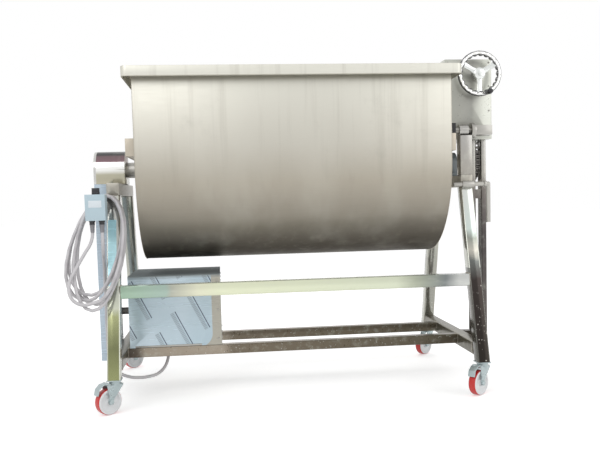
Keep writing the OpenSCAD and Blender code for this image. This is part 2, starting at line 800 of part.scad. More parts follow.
// Single-start thread round the Y axis, straight below the shaft at the wheel's middle
lead = PI * worm_mod;
thread_share = 0.34;
root_share = 1.2;
tip_height_share = 0.9;
worm_turns = 5;
thread_sides = 24;
module worm_thread() {
    root = worm_r - root_share * worm_mod;
    tip = worm_r + tip_height_share * worm_mod;
    base = lead * thread_share * 1.25;
    crest = lead * thread_share * 0.5;
    n = worm_turns * thread_sides;
    pts = [for (k = [0:n])
        let (t = 180 + 360 * (k / thread_sides - worm_turns / 2), y = lead * (t - 180) / 360)
        for (c = [[root, -base / 2], [root, base / 2], [tip, crest / 2], [tip, -crest / 2]])
            [c[0] * sin(t), y + c[1], c[0] * cos(t)]];
    side = [for (k = [0:n - 1], j = [0:3]) let (a = 4 * k + j, b = 4 * k + (j + 1) % 4)
        each [[a, b + 4, b], [a, a + 4, b + 4]]];
    polyhedron(pts, concat([[1, 2, 3], [0, 1, 3]], side,
                           [[4 * n + 2, 4 * n + 1, 4 * n + 3], [4 * n + 1, 4 * n, 4 * n + 3]]));
}
hub_rear = 15;
hub_face = 4;
hub_front = hand_y - hub_rear;
worm_end_in = 2;
module worm_shaft() stand() color("dimgray") {
    front = hub_front + hub_face;
    thread_l = lead * (worm_turns + 1);
    bar_y(front, -box_y + box_d - worm_end_in - front, worm_shaft_d / 2, hand_x, hand_z);
    bar_y(wheel_y - thread_l / 2, thread_l, worm_r - worm_mod, hand_x, hand_z);
    translate([hand_x, wheel_y, hand_z]) worm_thread();
}

// Worm wheel with trapezoidal teeth; a gap points straight up
module worm_wheel() stand() color("peru") {
    r = worm_mod * wheel_teeth / 2;
    foot = lead * thread_share * 1.3;
    tip = lead * thread_share * 0.6;
    root = r - root_share * worm_mod;
    crest_r = r + tip_height_share * worm_mod;
    translate([0, wheel_y, cross_z]) along_x(hand_x - face_w / 2, face_w) {
        circle(root, $fn = 90);
        for (k = [0:wheel_teeth - 1]) rotate(90 + (k + 0.5) * 360 / wheel_teeth)
            polygon([[root - over, -foot / 2], [root - over, foot / 2],
                     [crest_r, tip / 2], [crest_r, -tip / 2]]);
    }
    bar_x(box_x + pass, box_w - 2 * pass, cross_d / 2, wheel_y, cross_z);
    bar_x(hand_x - face_w, 2 * face_w - hub_face, cross_d, wheel_y, cross_z);
    sprocket(tilt_x, pinion_teeth, first_turn(axis_c, tilt_teeth, cross_c, pinion_teeth, "top"),
             cross_d / 2 + hub_wall / 2, tooth_t + 2 * pass, 0, wheel_y, cross_z);
}

// Handwheel with a torus rim, three flared spokes and finger waves
hand_hub_r = 24;
spoke_turns = [-90, 30, 150];
spoke_shares = [[0.12, 0.2], [0.47, 0.11], [1, 0.155]];
module handwheel() stand() color("gainsboro") {
    tube_r = hand_rim / 2;
    ring_r = hand_d / 2 - tube_r;
    spoke = ring_r * spoke_shares;
    translate([hand_x, hand_y, hand_z]) rotate([90, 0, 0]) {
        rotate_extrude($fn = 96) translate([ring_r, 0]) circle(tube_r, $fn = 24);
        for (k = [0:waves - 1]) rotate(k * 360 / waves)
            translate([ring_r - tube_r * 0.55, 0, 0]) sphere(tube_r * 0.75, $fn = 16);
        difference() {
            union() {
                translate([0, 0, -tube_r]) cylinder(h = tube_r + hub_rear, r = hand_hub_r);
                for (a = spoke_turns) rotate(a) translate([0, 0, -tube_r / 2]) linear_extrude(tube_r)
                    polygon([for (side = [-1, 1], k = [0:2]) let (p = spoke[side < 0 ? k : 2 - k])
                        [p[0], side * p[1]]]);
            }
            translate([0, 0, -2 * tube_r])
                cylinder(h = 2 * tube_r + hub_rear - hub_face + seat, r = worm_shaft_d / 2 + seat);
        }
    }
}
knob_turn = -72;
knob_r = 12;
module handwheel_knob() stand() color("black") {
    ring_r = hand_d / 2 - hand_rim / 2;
    knob_at = [hand_x, hand_z] + ring_r * [cos(knob_turn), sin(knob_turn)];
    translate([knob_at[0], hand_y - hand_rim / 2 - pass, knob_at[1]])
        rotate([90, 0, 0]) rotate_extrude()
            polygon([[0, 0], [knob_r * 0.6, 0], [knob_r * 0.75, knob_len * 0.2], [knob_r, knob_len * 0.7],
                     [knob_r * 0.8, knob_len * 0.94], [knob_r * 0.4, knob_len], [0, knob_len]]);
}

// Lock bolt through its bush, and the stop rod over the post

bolt_collar_w = 10;
bolt_collar_over = 4;
module lock_bolt() stand() color("silver") {
    r = bolt_d / 2;
    bar_x(bolt_tip, bolt_end - bolt_tip, r, bolt_y, bolt_z);
    translate([bolt_end, bolt_y, bolt_z]) sphere(r);
    translate([bolt_end, bolt_y, bolt_z - bolt_handle]) cylinder(h = bolt_handle, r = r);
    bar_x(bolt_end - r - bolt_collar_w, bolt_collar_w, r + bolt_collar_over, bolt_y, bolt_z);
}
module lock_bush() stand() color("silver") difference() {
    bar_x(frame_x - tube / 2, tube, bush_r, bolt_y, bolt_z);
    bar_x(frame_x - tube, 2 * tube, bolt_d / 2 + run, bolt_y, bolt_z);
}

stop_end = box_x + box_w * 2 / 3;
stop_collar_w = 20;
stop_collar_over = 18;
collar_x = frame_x + tube / 2 + 2 * pass;
block_x = collar_x + stop_collar_w + pass;
module stop_rod() stand() color("silver") {
    bar_x(half + pad_w, stop_end - half - pad_w, stop_r, stop_y, stop_z);
    bar_x(collar_x, stop_collar_w, stop_r + stop_collar_over, stop_y, stop_z);
}
module stop_bracket() stand() color("gray") difference() {
    block([block_x, stop_y - block_half, stop_z - block_half],
          [block_x + block_l, -box_y - seat, stop_z + block_half]);
    bar_x(half, frame_x, stop_r + run, stop_y, stop_z);
}

// Casters

caster_places = [[-1, -1], [1, -1], [-1, 1], [1, 1]];
mount_t = 4;
mount_over = 3;
head_h = 12;
swivel_r = 8;
module caster_plates() stand() color("silver") for (c = caster_places)
    translate([c[0] * frame_x, c[1] * foot_y, 0]) {
        reach = tube / 2 + mount_over;
        block([-reach, -reach, caster_h - mount_t - seat], [reach, reach, caster_h - seat]);
        translate([0, 0, caster_h - mount_t - head_h]) cylinder(h = head_h, r = swivel_r);
    }

module at_caster(place) {
    translate([place[0] * frame_x, place[1] * foot_y, 0]) rotate([0, 0, 180 + caster_turn]) children();
}

// Bent fork: a crown with a bored swivel head, and two cheeks down to the axle
crown_z = caster_h - mount_t - head_h;
crown_drop = 4;
cheek_front = 24;
crown_l = 56;
crown_corner = 10;
crown_r = 22;
// Points round the wheel bolt, as shares of its diameter
cheek_shares = [[1.2, 0.6], [0.9, -0.8], [-0.9, -0.8], [-1.3, 1]];
module cheek_outline() {
    polygon(concat([[-cheek_back, crown_z - crown_drop], [cheek_front, crown_z - crown_drop]],
                   [for (p = cheek_shares) [trail, wheel_d / 2] + axle_d * p]));
}
pin_r = 3;
pedal_z = crown_z + pin_r;
// Points round the pedal's pin, as shares of its radius
lug_shares = [[-4.7, -4], [-2, 1.3], [1.3, 1.3], [2.7, -1], [0.7, -14]];
nut_t = 6;
nut_sink = 0.5;
nut_share = 1.02;
axle_over = 5;
module fork(braked) {
    difference() {
        union() {
            translate([0, 0, crown_z - crown_drop]) linear_extrude(fork_wall)
                rounded_plan(crown_l, 2 * fork_wide, crown_corner);
            translate([0, 0, crown_z - fork_wall]) cylinder(h = head_h + fork_wall - 2 * pass, r = crown_r);
        }
        translate([0, 0, crown_z - 4 * fork_wall]) cylinder(h = head_h + 8 * fork_wall, r = swivel_r + run);
    }
    for (s = [-1, 1]) mirror([0, s < 0 ? 1 : 0, 0]) along_y(fork_in, fork_wall) {
        cheek_outline();
        if (braked) polygon([for (p = lug_shares) [pedal_x, pedal_z] + pin_r * p]);
    }
    if (braked) bar_y(-fork_wide - over, 2 * (fork_wide + over), pin_r, pedal_x, pedal_z, $fn = 24);
    bar_y(-fork_wide - axle_over, 2 * (fork_wide + axle_over), axle_d / 2, trail, wheel_d / 2);
    for (s = [-1, 1]) bar_y(s * (fork_wide + nut_t / 2 - nut_sink) - nut_t / 2, nut_t, axle_d * nut_share,
                            trail, wheel_d / 2, $fn = 6);
}
module front_left_fork() stand() color("silver") at_caster(caster_places[0]) fork(true);
module front_right_fork() stand() color("silver") at_caster(caster_places[1]) fork(true);
module rear_left_fork() stand() color("silver") at_caster(caster_places[2]) fork(false);
module rear_right_fork() stand() color("silver") at_caster(caster_places[3]) fork(false);

// Wheel with a dished core, a bored hub and a rounded tread
tread_round = 3;
core_slope = 5;
dish_share = 0.6;
crown_share = 0.7;
hub_shares = [1.4, 1.6];
module wheel() {
    r = wheel_d / 2;
    w = wheel_w / 2;
    side = [[axle_d / 2 + run, w], [axle_d * hub_shares[0], w], [axle_d * hub_shares[1], w * dish_share],
            [r - tread - core_slope, w * dish_share], [r - tread, w], [r - tread_round, w],
            [r, w * crown_share]];
    n = len(side);
    translate([trail, 0, r]) rotate([90, 0, 0]) rotate_extrude($fn = 72)
        polygon([for (k = [0:2 * n - 1]) k < n ? [side[k][0], -side[k][1]] : side[2 * n - 1 - k]]);
}
module front_left_wheel() stand() color("red") at_caster(caster_places[0]) wheel();
module front_right_wheel() stand() color("red") at_caster(caster_places[1]) wheel();
module rear_left_wheel() stand() color("red") at_caster(caster_places[2]) wheel();
module rear_right_wheel() stand() color("red") at_caster(caster_places[3]) wheel();

// Stamped brake pedal, hinged between the fork's cheeks beyond the swivel head
// Points of its bent sheet, as shares of its length
pedal_shares = [[0.04, 0.11], [0.48, 0.07], [0.87, -0.28], [1, -0.78], [0.94, -0.78], [0.81, -0.31],
                [0.43, 0], [0.04, 0.04]];
module pedal() {
    difference() {
        union() {
            along_y(-pedal_w + pedal_inset, 2 * (pedal_w - pedal_inset))
                polygon([for (p = pedal_shares) [pedal_x, pedal_z] + pedal_l * p]);
            bar_y(-pedal_w, 2 * pedal_w, 2 * pin_r, pedal_x, pedal_z);
        }
        bar_y(-2 * pedal_w, 4 * pedal_w, pin_r + run, pedal_x, pedal_z, $fn = 24);
    }
}
module front_left_pedal() stand() color("lightgray") at_caster(caster_places[0]) pedal();
module front_right_pedal() stand() color("lightgray") at_caster(caster_places[1]) pedal();

// Starter and cables
// The box sits at the end of an arm on the front left leg, and the cable hangs over the arm.

arm_out = 17;
arm_drop = 66;
arm_x = -frame_x - arm_out;
arm_z = beam_z - arm_drop;
arm_r = 8;
arm_l = 122;
arm_from = -leg_y(arm_z) - leg_cut / 2 - seat - arm_r * leg_slope;
starter_over = 12;
starter_drop = 78;
starter_x = arm_x + starter_over;
starter_z = arm_z - starter_drop;
starter_y = arm_from - arm_l - seat;
lip = 1;
lip_d = 8;
module starter_box() stand() color("lightsteelblue") {
    block([starter_x - starter_w, starter_y - starter_d, starter_z],
          [starter_x, starter_y, starter_z + starter_h]);
    block([starter_x - starter_w - lip, starter_y - starter_d - lip, starter_z - lip],
          [starter_x + lip, starter_y - starter_d + lip_d, starter_z + starter_h + lip]);
}
knob_x = starter_x - starter_w / 2;
knob_y = starter_y - starter_d / 2;
switch_r = 15;
switch_base = 10;
switch_w = 8;
switch_h = 16;
module switch_knob() stand() color("black") translate([knob_x, knob_y, starter_z + starter_h + pass]) {
    cylinder(h = switch_base, r = switch_r);
    translate([-switch_r + lip, -switch_w / 2, switch_base - over])
        cube([2 * switch_r - 2 * lip, switch_w, switch_h]);
}
gland_r = 10;
gland_l = 16;
gland_nut = 6;
gland_in = 18;
gland_x = [starter_x - starter_w + gland_in, starter_x - gland_in];
module gland(x, y, z) {
    translate([x, y, z - gland_l]) cylinder(h = gland_l, r = gland_r, $fn = 24);
    translate([x, y, z - gland_nut]) cylinder(h = gland_nut, r = gland_r + 2 * lip, $fn = 6);
}
// The third gland is under the drive box, where the motor lead goes in.
gland_from = 122;
gland_y = -104;
box_gland = [gear_x + gland_from, gland_y];
module cable_glands() stand() color("black") {
    for (x = gland_x) gland(x, knob_y, starter_z - seat);
    gland(box_gland[0], box_gland[1], base_z + pass - seat);
}
module cable_hook() stand() color("black") {
    bar_y(starter_y + seat, arm_l, arm_r, arm_x, arm_z);
}

// Tube swept along points, with its frame carried from ring to ring
function unit(v) = v / norm(v);
function tangent(p, i) = unit(p[min(i + 1, len(p) - 1)] - p[max(i - 1, 0)]);
function carried(u, t) = unit(u - (u * t) * t);
function frames(p, u0) = [for (i = 0, u = carried(u0, tangent(p, 0)); i < len(p);
    i = i + 1, u = i < len(p) ? carried(u, tangent(p, i)) : u) u];
module tube_along(p, r, sides, u0) {
    n = len(p);
    us = frames(p, u0);
    pts = [for (i = [0:n - 1]) let (t = tangent(p, i), u = us[i], v = cross(t, u))
        for (j = [0:sides - 1]) let (a = 360 * (j + 0.5) / sides) p[i] + r * (cos(a) * u + sin(a) * v)];
    side = [for (i = [0:n - 2], j = [0:sides - 1])
        let (a = sides * i + j, b = sides * i + (j + 1) % sides)
        each [[a, b + sides, b], [a, a + sides, b + sides]]];
    cap0 = [for (j = [1:sides - 2]) [0, j, j + 1]];
    m = sides * (n - 1);
    cap1 = [for (j = [1:sides - 2]) [m, m + j + 1, m + j]];
    polyhedron(pts, concat(cap0, side, cap1));
}

// Smooth curve through hand-chosen points, with k steps to each
function smooth(p, k) = [for (i = [0:len(p) - 2]) let (a = p[max(i - 1, 0)], b = p[i], c = p[i + 1],
    d = p[min(i + 2, len(p) - 1)]) for (s = [0:k - 1]) let (t = s / k)
    0.5 * (2 * b + (c - a) * t + (2 * a - 5 * b + 4 * c - d) * t * t
           + (3 * b - a - 3 * c + d) * t * t * t),
    p[len(p) - 1]];

// The hank: loops over the arm, one cable width apart along it, wide and narrow by turns
loop_step = 14.6;
loop_rings = 24;
hank_top = arm_z + arm_r + cable_d / 2 + 3 * pass;
hank_back = arm_from - loop_step * 0.6;
hank_from = 180;
hank_to = 360 * loops + 210;
hank_front = hank_back - loop_step * (hank_to - hank_from) / 360;
top_half = 90;
left_half = 112;
right_half = 84;
end_half = 72;
hank_h = 402;
left_sway = 22;
right_sway = 8;
drop_sways = [26, 10];
tail_lift = 14;
lean_out = 52;
lean_sway = 12;
function hank_left(T) = left_half + left_sway * cos(T * 0.31 + 60);
function hank_right(T) = (right_half + right_sway * cos(T * 0.53)) * (1 - tail(T)) + end_half * tail(T);
function tail(T) = max(0, (T - hank_to + 100) / 100);
function hank_drop(T) = hank_h + drop_sways[0] * cos(T * 0.27 + 200) + drop_sways[1] * sin(T * 0.71)
    - tail_lift * tail(T);
function hank_lean(T) = lean_sway * cos(T * 0.23 - 41) - lean_out;
function hank_half(T) = sin(T) > 0 ? hank_left(T) : hank_right(T);
function hank_point(T) = let (low = (1 - cos(T)) / 2, z = hank_top - hank_drop(T) * low)
    [arm_x + hank_lean(T) * low - sin(T) * (top_half + (hank_half(T) - top_half) * low),
     hank_front + loop_step * (T - hank_from) / 360
         - leg_slope * (hank_top - z),
     z];
hank_curve = [for (k = [0:round((hank_to - hank_from) * loop_rings / 360)])
    hank_point(hank_from + k * 360 / loop_rings)];
function straight_ends(p) = let (n = len(p), a = unit(p[1] - p[0]), b = unit(p[n - 1] - p[n - 2]))
    concat([p[0] - cable_d * a], p, [p[n - 1] + cable_d * b]);
hank_path = straight_ends(hank_curve);

// Least distance between turns, with neighbours closer than half a loop along the tube left out
least = min([for (i = [0:len(hank_path) - 1]) for (j = [i + loop_rings / 2:1:len(hank_path) - 1])
    norm(hank_path[i] - hank_path[j])]);
function added(v, i) = i >= len(v) ? 0 : v[i] + added(v, i + 1);
hank_length = added([for (i = [0:len(hank_path) - 2]) norm(hank_path[i + 1] - hank_path[i])], 0);
echo(hank_gap = least - cable_d, hank_length = hank_length);

module cable_hank() stand() color("lightgray") tube_along(hank_path, cable_d / 2, 6, [0, 1, 0]);

// Bare conductors at the hank's free end
core_r = 2;
core_l = 42;
core_step = 6;
module conductor_ends() stand() color("orange") {
    end = hank_path[len(hank_path) - 1];
    dir = unit(end - hank_path[len(hank_path) - 2]);
    translate(end) rotate([0, acos(dir[2]), atan2(dir[1], dir[0])]) for (k = [0:2])
        rotate(k * 120) translate([1.5 * core_r, 0, 0])
            cylinder(h = core_l - core_step * k, r = core_r, $fn = 16);
}

// Route of the supply lead, from the left gland to the hank's start
lead_top = [gland_x[0], knob_y, starter_z - seat - gland_l];
supply_steps = [[0, 0, 0], [0, 0, -20], [-1, 0, -42], [-6, 0, -62], [-15, -2, -82],
                [-27, -4, -100], [-38, -7, -118], [-49, -10, -136], [-59, -13, -154]];
supply_ends = [[-59, 27, 122], [-69, 22, 104], [-77, 17, 85], [-80, 12, 65], [-79, 7, 44],
               [-72, 2, 25], [-59, -1, 10], [-41, -3, 0], [-21, -2, -4], [0, 0, 0]];
supply_route = concat([for (p = supply_steps) lead_top + p], [for (p = supply_ends) hank_path[0] + p]);
module supply_lead() stand() color("lightgray")
    tube_along(smooth(supply_route, 2), cable_d / 2, 10, [0, 1, 0]);

// Route of the motor lead, through the hanging loops, down outside the leg and up into the drive box
motor_top = [gland_x[1], knob_y, starter_z - seat - gland_l];
motor_foot = [-frame_x - tube / 2, -top_y, base_z];
motor_end = [box_gland[0], box_gland[1], base_z + pass - seat - gland_l];
motor_steps = [[0, 0, 0], [0, 0, -13], [0, 0, -28], [0, 2, -48], [-1, 9, -72], [-4, 28, -106],
               [-9, 70, -150]];
motor_down = [[-13, -75, 324], [-18, -43, 279], [-21, -23, 229], [-22, -16, 179], [-22, -15, 99],
              [-22, -15, 39], [-20, -16, -1], [-12, -18, -41], [6, -20, -73], [34, -21, -95]];
motor_tail = [[-142, -129, -91], [-119, -124, -95], [-97, -116, -97], [-75, -105, -97],
              [-57, -88, -97], [-44, -69, -96], [-32, -49, -91], [-20, -31, -82],
              [-10, -15, -67], [-3, -4, -47], [0, 0, -24], [0, 0, 0]];
motor_route = concat([for (p = motor_steps) motor_top + p], [for (p = motor_down) motor_foot + p],
                     [for (p = motor_tail) motor_end + p]);
module motor_lead() stand() color("lightgray")
    tube_along(smooth(motor_route, 2), cable_d / 2, 10, [1, 0, 0]);

trough_shell();
trough_rim();
left_end_bar();
right_end_bar();
left_trunnion();
right_trunnion();
stop_pad();
lock_socket();
tilt_sprocket();
agitator_shaft();
agitator_arms();
outer_ribbon();
inner_ribbon();
driven_sprocket();
motor_base();
drive_motor();
drive_gearbox();
output_sprocket();
drive_chain();
guard_hood();
chain_guard();
drive_box();
legs();
left_beams();
right_beams();
upper_rail();
lower_rails();
gearbox_columns();
front_post();
left_bearing();
right_bearing();
gear_housing();
worm_shaft();
worm_wheel();
tilt_chain();
handwheel();
handwheel_knob();
lock_bolt();
lock_bush();
stop_rod();
stop_bracket();
caster_plates();
front_left_fork();
front_right_fork();
rear_left_fork();
rear_right_fork();
front_left_wheel();
front_right_wheel();
rear_left_wheel();
rear_right_wheel();
front_left_pedal();
front_right_pedal();
starter_box();
switch_knob();
cable_glands();
cable_hook();
supply_lead();
cable_hank();
conductor_ends();
motor_lead();
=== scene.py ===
"""Looks of a tilting ribbon mixer for dry powder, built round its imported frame."""
import json
import logging
import math
from dataclasses import dataclass
from enum import Enum
from typing import Callable, Iterable, Sequence

import bmesh
import bpy
from mathutils import Matrix, Vector, noise

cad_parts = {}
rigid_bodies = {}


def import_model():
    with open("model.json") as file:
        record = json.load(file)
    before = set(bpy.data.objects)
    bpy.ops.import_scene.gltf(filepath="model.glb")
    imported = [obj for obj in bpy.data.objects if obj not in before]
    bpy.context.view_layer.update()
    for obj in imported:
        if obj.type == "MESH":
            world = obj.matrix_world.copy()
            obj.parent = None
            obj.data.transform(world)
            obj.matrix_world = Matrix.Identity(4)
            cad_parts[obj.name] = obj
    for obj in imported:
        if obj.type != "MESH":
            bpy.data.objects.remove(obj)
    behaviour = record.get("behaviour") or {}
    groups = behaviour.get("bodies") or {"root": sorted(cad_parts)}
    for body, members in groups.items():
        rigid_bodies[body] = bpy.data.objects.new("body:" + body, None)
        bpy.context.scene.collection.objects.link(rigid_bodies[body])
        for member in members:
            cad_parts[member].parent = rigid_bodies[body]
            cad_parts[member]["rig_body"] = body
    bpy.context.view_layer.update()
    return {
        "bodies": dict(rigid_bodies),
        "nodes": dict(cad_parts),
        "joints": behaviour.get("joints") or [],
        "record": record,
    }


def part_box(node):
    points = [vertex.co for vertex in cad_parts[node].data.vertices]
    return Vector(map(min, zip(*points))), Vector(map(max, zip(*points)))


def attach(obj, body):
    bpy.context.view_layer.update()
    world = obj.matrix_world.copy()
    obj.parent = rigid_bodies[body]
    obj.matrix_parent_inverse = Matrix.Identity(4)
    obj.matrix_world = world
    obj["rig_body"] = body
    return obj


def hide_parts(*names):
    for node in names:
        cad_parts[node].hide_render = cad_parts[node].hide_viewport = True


log = logging.getLogger("mixer")
Color = tuple[float, float, float]
Point = tuple[float, float, float]
Stops = Sequence[tuple[float, Color]]
Mesh = bpy.types.Mesh
Object = bpy.types.Object
Material = bpy.types.Material
Socket = bpy.types.NodeSocket
MM = 0.001
UP = Vector((0, 0, 1))
LEG_SLOPE = 0.27817
LEG_FOOT = 410.0
LEG_FOOT_Z = 130.0


class Slot(Enum):
    """Material slots of the record."""

    SATIN = "satin_steel"
    POLISHED = "polished_steel"
    FILMED = "filmed_steel"
    PLAIN = "plain_steel"
    CHAIN = "chain_steel"
    BRONZE = "bronze"
    GREY_PAINT = "grey_paint"
    CHROME = "chrome_plate"
    ZINC = "zinc_plate"
    TREAD = "red_tread"
    PLASTIC = "black_plastic"
    RUBBER = "black_rubber"
    BLACK_PAINT = "black_paint"
    BOX = "box_plastic"
    SHEATH = "cable_sheath"
    COPPER = "copper"


def operator(operation: str, swapped: bool = False) -> Callable[["Value", "Value | float"], "Value"]:
    """Makes one operator of Value.

    Args:
        operation: the Math node's operation.
        swapped: whether the other number comes first.

    Returns:
        The operator.
    """
    def apply(value: "Value", other: "Value | float") -> "Value":
        """Joins two numbers by one Math node."""
        return value.tree.math(operation, *((other, value) if swapped else (value, other)))
    return apply


class Value:
    """A shader socket that takes part in Python arithmetic."""

    def __init__(self, tree: "Tree", socket: Socket) -> None:
        """Keeps the tree and the socket that the number comes from."""
        self.tree = tree
        self.socket = socket

    __add__ = __radd__ = operator("ADD")
    __mul__ = __rmul__ = operator("MULTIPLY")
    __sub__ = operator("SUBTRACT")
    __rsub__ = operator("SUBTRACT", True)
    __truediv__ = operator("DIVIDE")
    __gt__ = operator("GREATER_THAN")
    __lt__ = operator("LESS_THAN")


class Tree:
    """Node tree of one material, or of the world, written as Python expressions."""

    def __init__(self, name: str, world: bool = False) -> None:
        """Starts the tree with its shader."""
        self.owner = (bpy.data.worlds if world else bpy.data.materials).new(name)
        self.owner.use_nodes = True
        self.nodes = self.owner.node_tree.nodes
        self.links = self.owner.node_tree.links
        self.shader = self.nodes["Background" if world else "Principled BSDF"]

    def node(self, kind: str, inputs: dict | None = None, **settings: object) -> bpy.types.Node:
        """Adds one node.

        Args:
            kind: the node's type after "ShaderNode".
            inputs: socket name or number to a number, a tuple or a Value.
            settings: its properties.

        Returns:
            The node.
        """
        made = self.nodes.new("ShaderNode" + kind)
        for name, value in settings.items():
            setattr(made, name, value)
        for key, value in (inputs or {}).items():
            self.feed(made.inputs[key], value)
        return made

    def value(self, kind: str, inputs: dict | None = None, out: "int | str" = 0, **settings: object) -> Value:
        """Adds one node and gives one of its outputs."""
        return Value(self, self.node(kind, inputs, **settings).outputs[out])

    def feed(self, socket: Socket, value: "Value | float | Sequence[float]") -> None:
        """Links a Value to a socket, or writes a constant on it."""
        if isinstance(value, Value):
            self.links.new(value.socket, socket)
        elif isinstance(value, tuple) and socket.type == "RGBA":
            socket.default_value = (*value[:3], 1.0)
        else:
            socket.default_value = value

    def math(self, operation: str, *values: "Value | float") -> Value:
        """One Math node on the values."""
        return self.value("Math", dict(enumerate(values)), operation=operation)

    def clamp(self, value: Value) -> Value:
        """The value kept between 0 and 1."""
        return self.value("Clamp", {0: value})

    def span(self, value: Value, low: float, high: float) -> Value:
        """0 at low and 1 at high, smooth between."""
        return self.value("MapRange", {0: value, 1: low, 2: high}, interpolation_type="SMOOTHSTEP")

    def mix(self, factor: "Value | float", a: "Value | Color", b: "Value | Color") -> Value:
        """Colour a where the factor is 0, and b where it is 1."""
        return self.value("Mix", {0: factor, 6: a, 7: b}, 2, data_type="RGBA")

    def ramp(self, value: Value, stops: Stops) -> Value:
        """Colour at the value, whose stops lie between those of the first and the last."""
        low, high = stops[0][0], stops[-1][0]
        made = self.node("ValToRGB", {0: self.clamp((value - low) / (high - low))})
        elements = made.color_ramp.elements
        while len(elements) < len(stops):
            elements.new(1.0)
        for element, (place, color) in zip(elements, stops):
            element.position = (place - low) / (high - low)
            element.color = (*color, 1.0)
        return Value(self, made.outputs[0])

    def place(self) -> Value:
        """The point in the machine's own coordinates, in metres."""
        return self.value("TexCoord", None, "Object")

    def axes(self) -> list[Value]:
        """The point's three numbers."""
        made = self.node("SeparateXYZ", {0: self.place()})
        return [Value(self, made.outputs[k]) for k in range(3)]

    def noise(self, scale: "float | Point", detail: float = 3, rough: float = 0.55) -> Value:
        """Soft random number from 0 to 1.

        Args:
            scale: one scale, or one for each axis.
            detail: steps of finer noise.
            rough: share of each finer step.

        Returns:
            The number.
        """
        where, each = self.place(), isinstance(scale, tuple)
        if each:
            where = self.value("Mapping", {"Vector": where, "Scale": scale})
        return self.value("TexNoise", {"Vector": where, "Scale": 1.0 if each else scale, "Detail": detail,
                                       "Roughness": rough})

    def specks(self, scale: float, size: tuple[float, float], cover: Value) -> Value:
        """1 inside small drops, as far as the cover goes."""
        drops = self.value("TexVoronoi", {"Vector": self.place(), "Scale": scale}, "Distance")
        return self.span(drops, *size) * cover

    def seen(self) -> Value:
        """1 for the camera's rays, for mirrored ones and for those through clear things."""
        path = self.node("LightPath").outputs
        camera, glossy, through = (Value(self, path[f"Is {kind} Ray"])
                                   for kind in ("Camera", "Glossy", "Transmission"))
        return self.math("MAXIMUM", camera, self.math("MAXIMUM", glossy, through))

    def bump(self, height: Value, depth: float, strength: float) -> None:
        """Feeds the shader's normal from a height."""
        self.set(Normal=self.value("Bump", {"Height": height, "Distance": depth, "Strength": strength}))

    def polish(self, tone: Value, roughness: "Value | float", metallic: float, grain: float) -> None:
        """Ends a mirror-polished surface of a tone, with fine marks on it."""
        fine = self.noise(grain, 2)
        self.set(Base_Color=tone, Metallic=metallic, Specular_IOR_Level=0.25,
                 Roughness=self.clamp(roughness + (fine - 0.5) * 0.1))
        self.bump(fine, 0.0001, 0.15)

    def set(self, **sockets: "Value | float | Color") -> None:
        """Writes the shader's sockets; a name's underscores stand for spaces."""
        for name, value in sockets.items():
            self.feed(self.shader.inputs[name.replace("_", " ")], value)


def shaded(color: Color, share: float) -> Color:
    """A colour times a share."""
    return tuple(c * share for c in color)


class Look:
    """One finish: a name and what it paints."""

    name: str

    def paint(self, tree: Tree) -> None:
        """Feeds the tree's shader."""
        raise NotImplementedError

    def make(self) -> Material:
        """Builds the material."""
        tree = Tree(self.name)
        self.paint(tree)
        return tree.owner


@dataclass(frozen=True)
class Finish(Look):
    """A plain coated surface: a base colour with soft blotches and a fine bump."""

    name: str
    color: Color
    roughness: float = 0.5
    metallic: float = 0.0
    blotch: float = 0.12
    grain: float = 90.0
    depth: float = 0.0003
    coat: float = 0.0

    def paint(self, tree: Tree) -> None:
        """Feeds the tree's shader."""
        fine = tree.noise(self.grain)
        mixed = tree.mix(tree.noise(9, 4), shaded(self.color, 1 - self.blotch),
                         shaded(self.color, 1 + self.blotch))
        tree.set(Base_Color=mixed, Metallic=self.metallic, Coat_Weight=self.coat,
                 Roughness=tree.clamp(self.roughness + (fine - 0.5) * 0.25))
        tree.bump(fine, self.depth, 0.5)


@dataclass(frozen=True)
class SatinSteel(Look):
    """Rolled stainless sheet: warm grey, streaked down the sheet, with painted light and shade by height,
    lighter at the top and darker where it turns under, and a painted shadow just below the rim.
    """

    name: str = "satin_steel"
    # Tones of the painted light and shade by height, from the lit top down to the shaded underside.
    top: Color = (0.70, 0.69, 0.62)
    middle: Color = (0.53, 0.51, 0.45)
    low: Color = (0.36, 0.33, 0.275)
    under: Color = (0.036, 0.032, 0.026)
    foot_z: float = 0.56
    top_z: float = 1.29
    rim_z: float = 1.272
    # Colour of the painted shadow just below the rim.
    shadow: Color = (0.22, 0.19, 0.14)
    roughness: float = 0.44
    metallic: float = 0.6

    def paint(self, tree: Tree) -> None:
        """Feeds the tree's shader."""
        height = tree.axes()[2]
        # Painted light and shade: the tone ramps by height from the shaded underside up to the lit top.
        share = (height - self.foot_z) / (self.top_z - self.foot_z)
        tone = tree.ramp(share, [(0.0, self.under), (0.05, shaded(self.under, 1.9)),
                                 (0.23, shaded(self.low, 0.8)), (0.42, shaded(self.low, 1.1)),
                                 (0.62, self.middle), (1.0, self.top)])
        blot = tree.noise(7, 6, 0.7)
        # Dark streaks down the sheet, pale patches in the top's tone and darker blots, laid over the ramp.
        streaks_and_blots = ((tree.span(tree.noise((26, 26, 1.1), 5, 0.6), 0.5, 0.72) * 0.2, shaded(self.low, 0.8)),
                  (tree.span(tree.noise((5, 5, 1.7)), 0.45, 0.75) * 0.14, self.top),
                  (tree.span(blot, 0.55, 0.8) * 0.26, shaded(self.middle, 0.66)))
        for cover, color in streaks_and_blots:
            tone = tree.mix(cover, tone, color)
        # Painted shadow in a band just below the rim.
        below = 1 - tree.span(height, self.rim_z, self.rim_z + 0.002)
        shade = tree.span(height, self.rim_z - 0.02, self.rim_z - 0.004) * below
        tone = tree.mix(shade * 0.4, tone, self.shadow)
        grain = tree.noise((14, 14, 420), 2, 0.5)
        tree.set(Base_Color=tone, Metallic=self.metallic, Specular_IOR_Level=0.2,
                 Specular_Tint=(0.5, 0.48, 0.44),
                 Roughness=tree.clamp(self.roughness + (grain - 0.5) * 0.3 + (blot - 0.5) * 0.2))
        tree.bump(grain, 0.0002, 0.25)


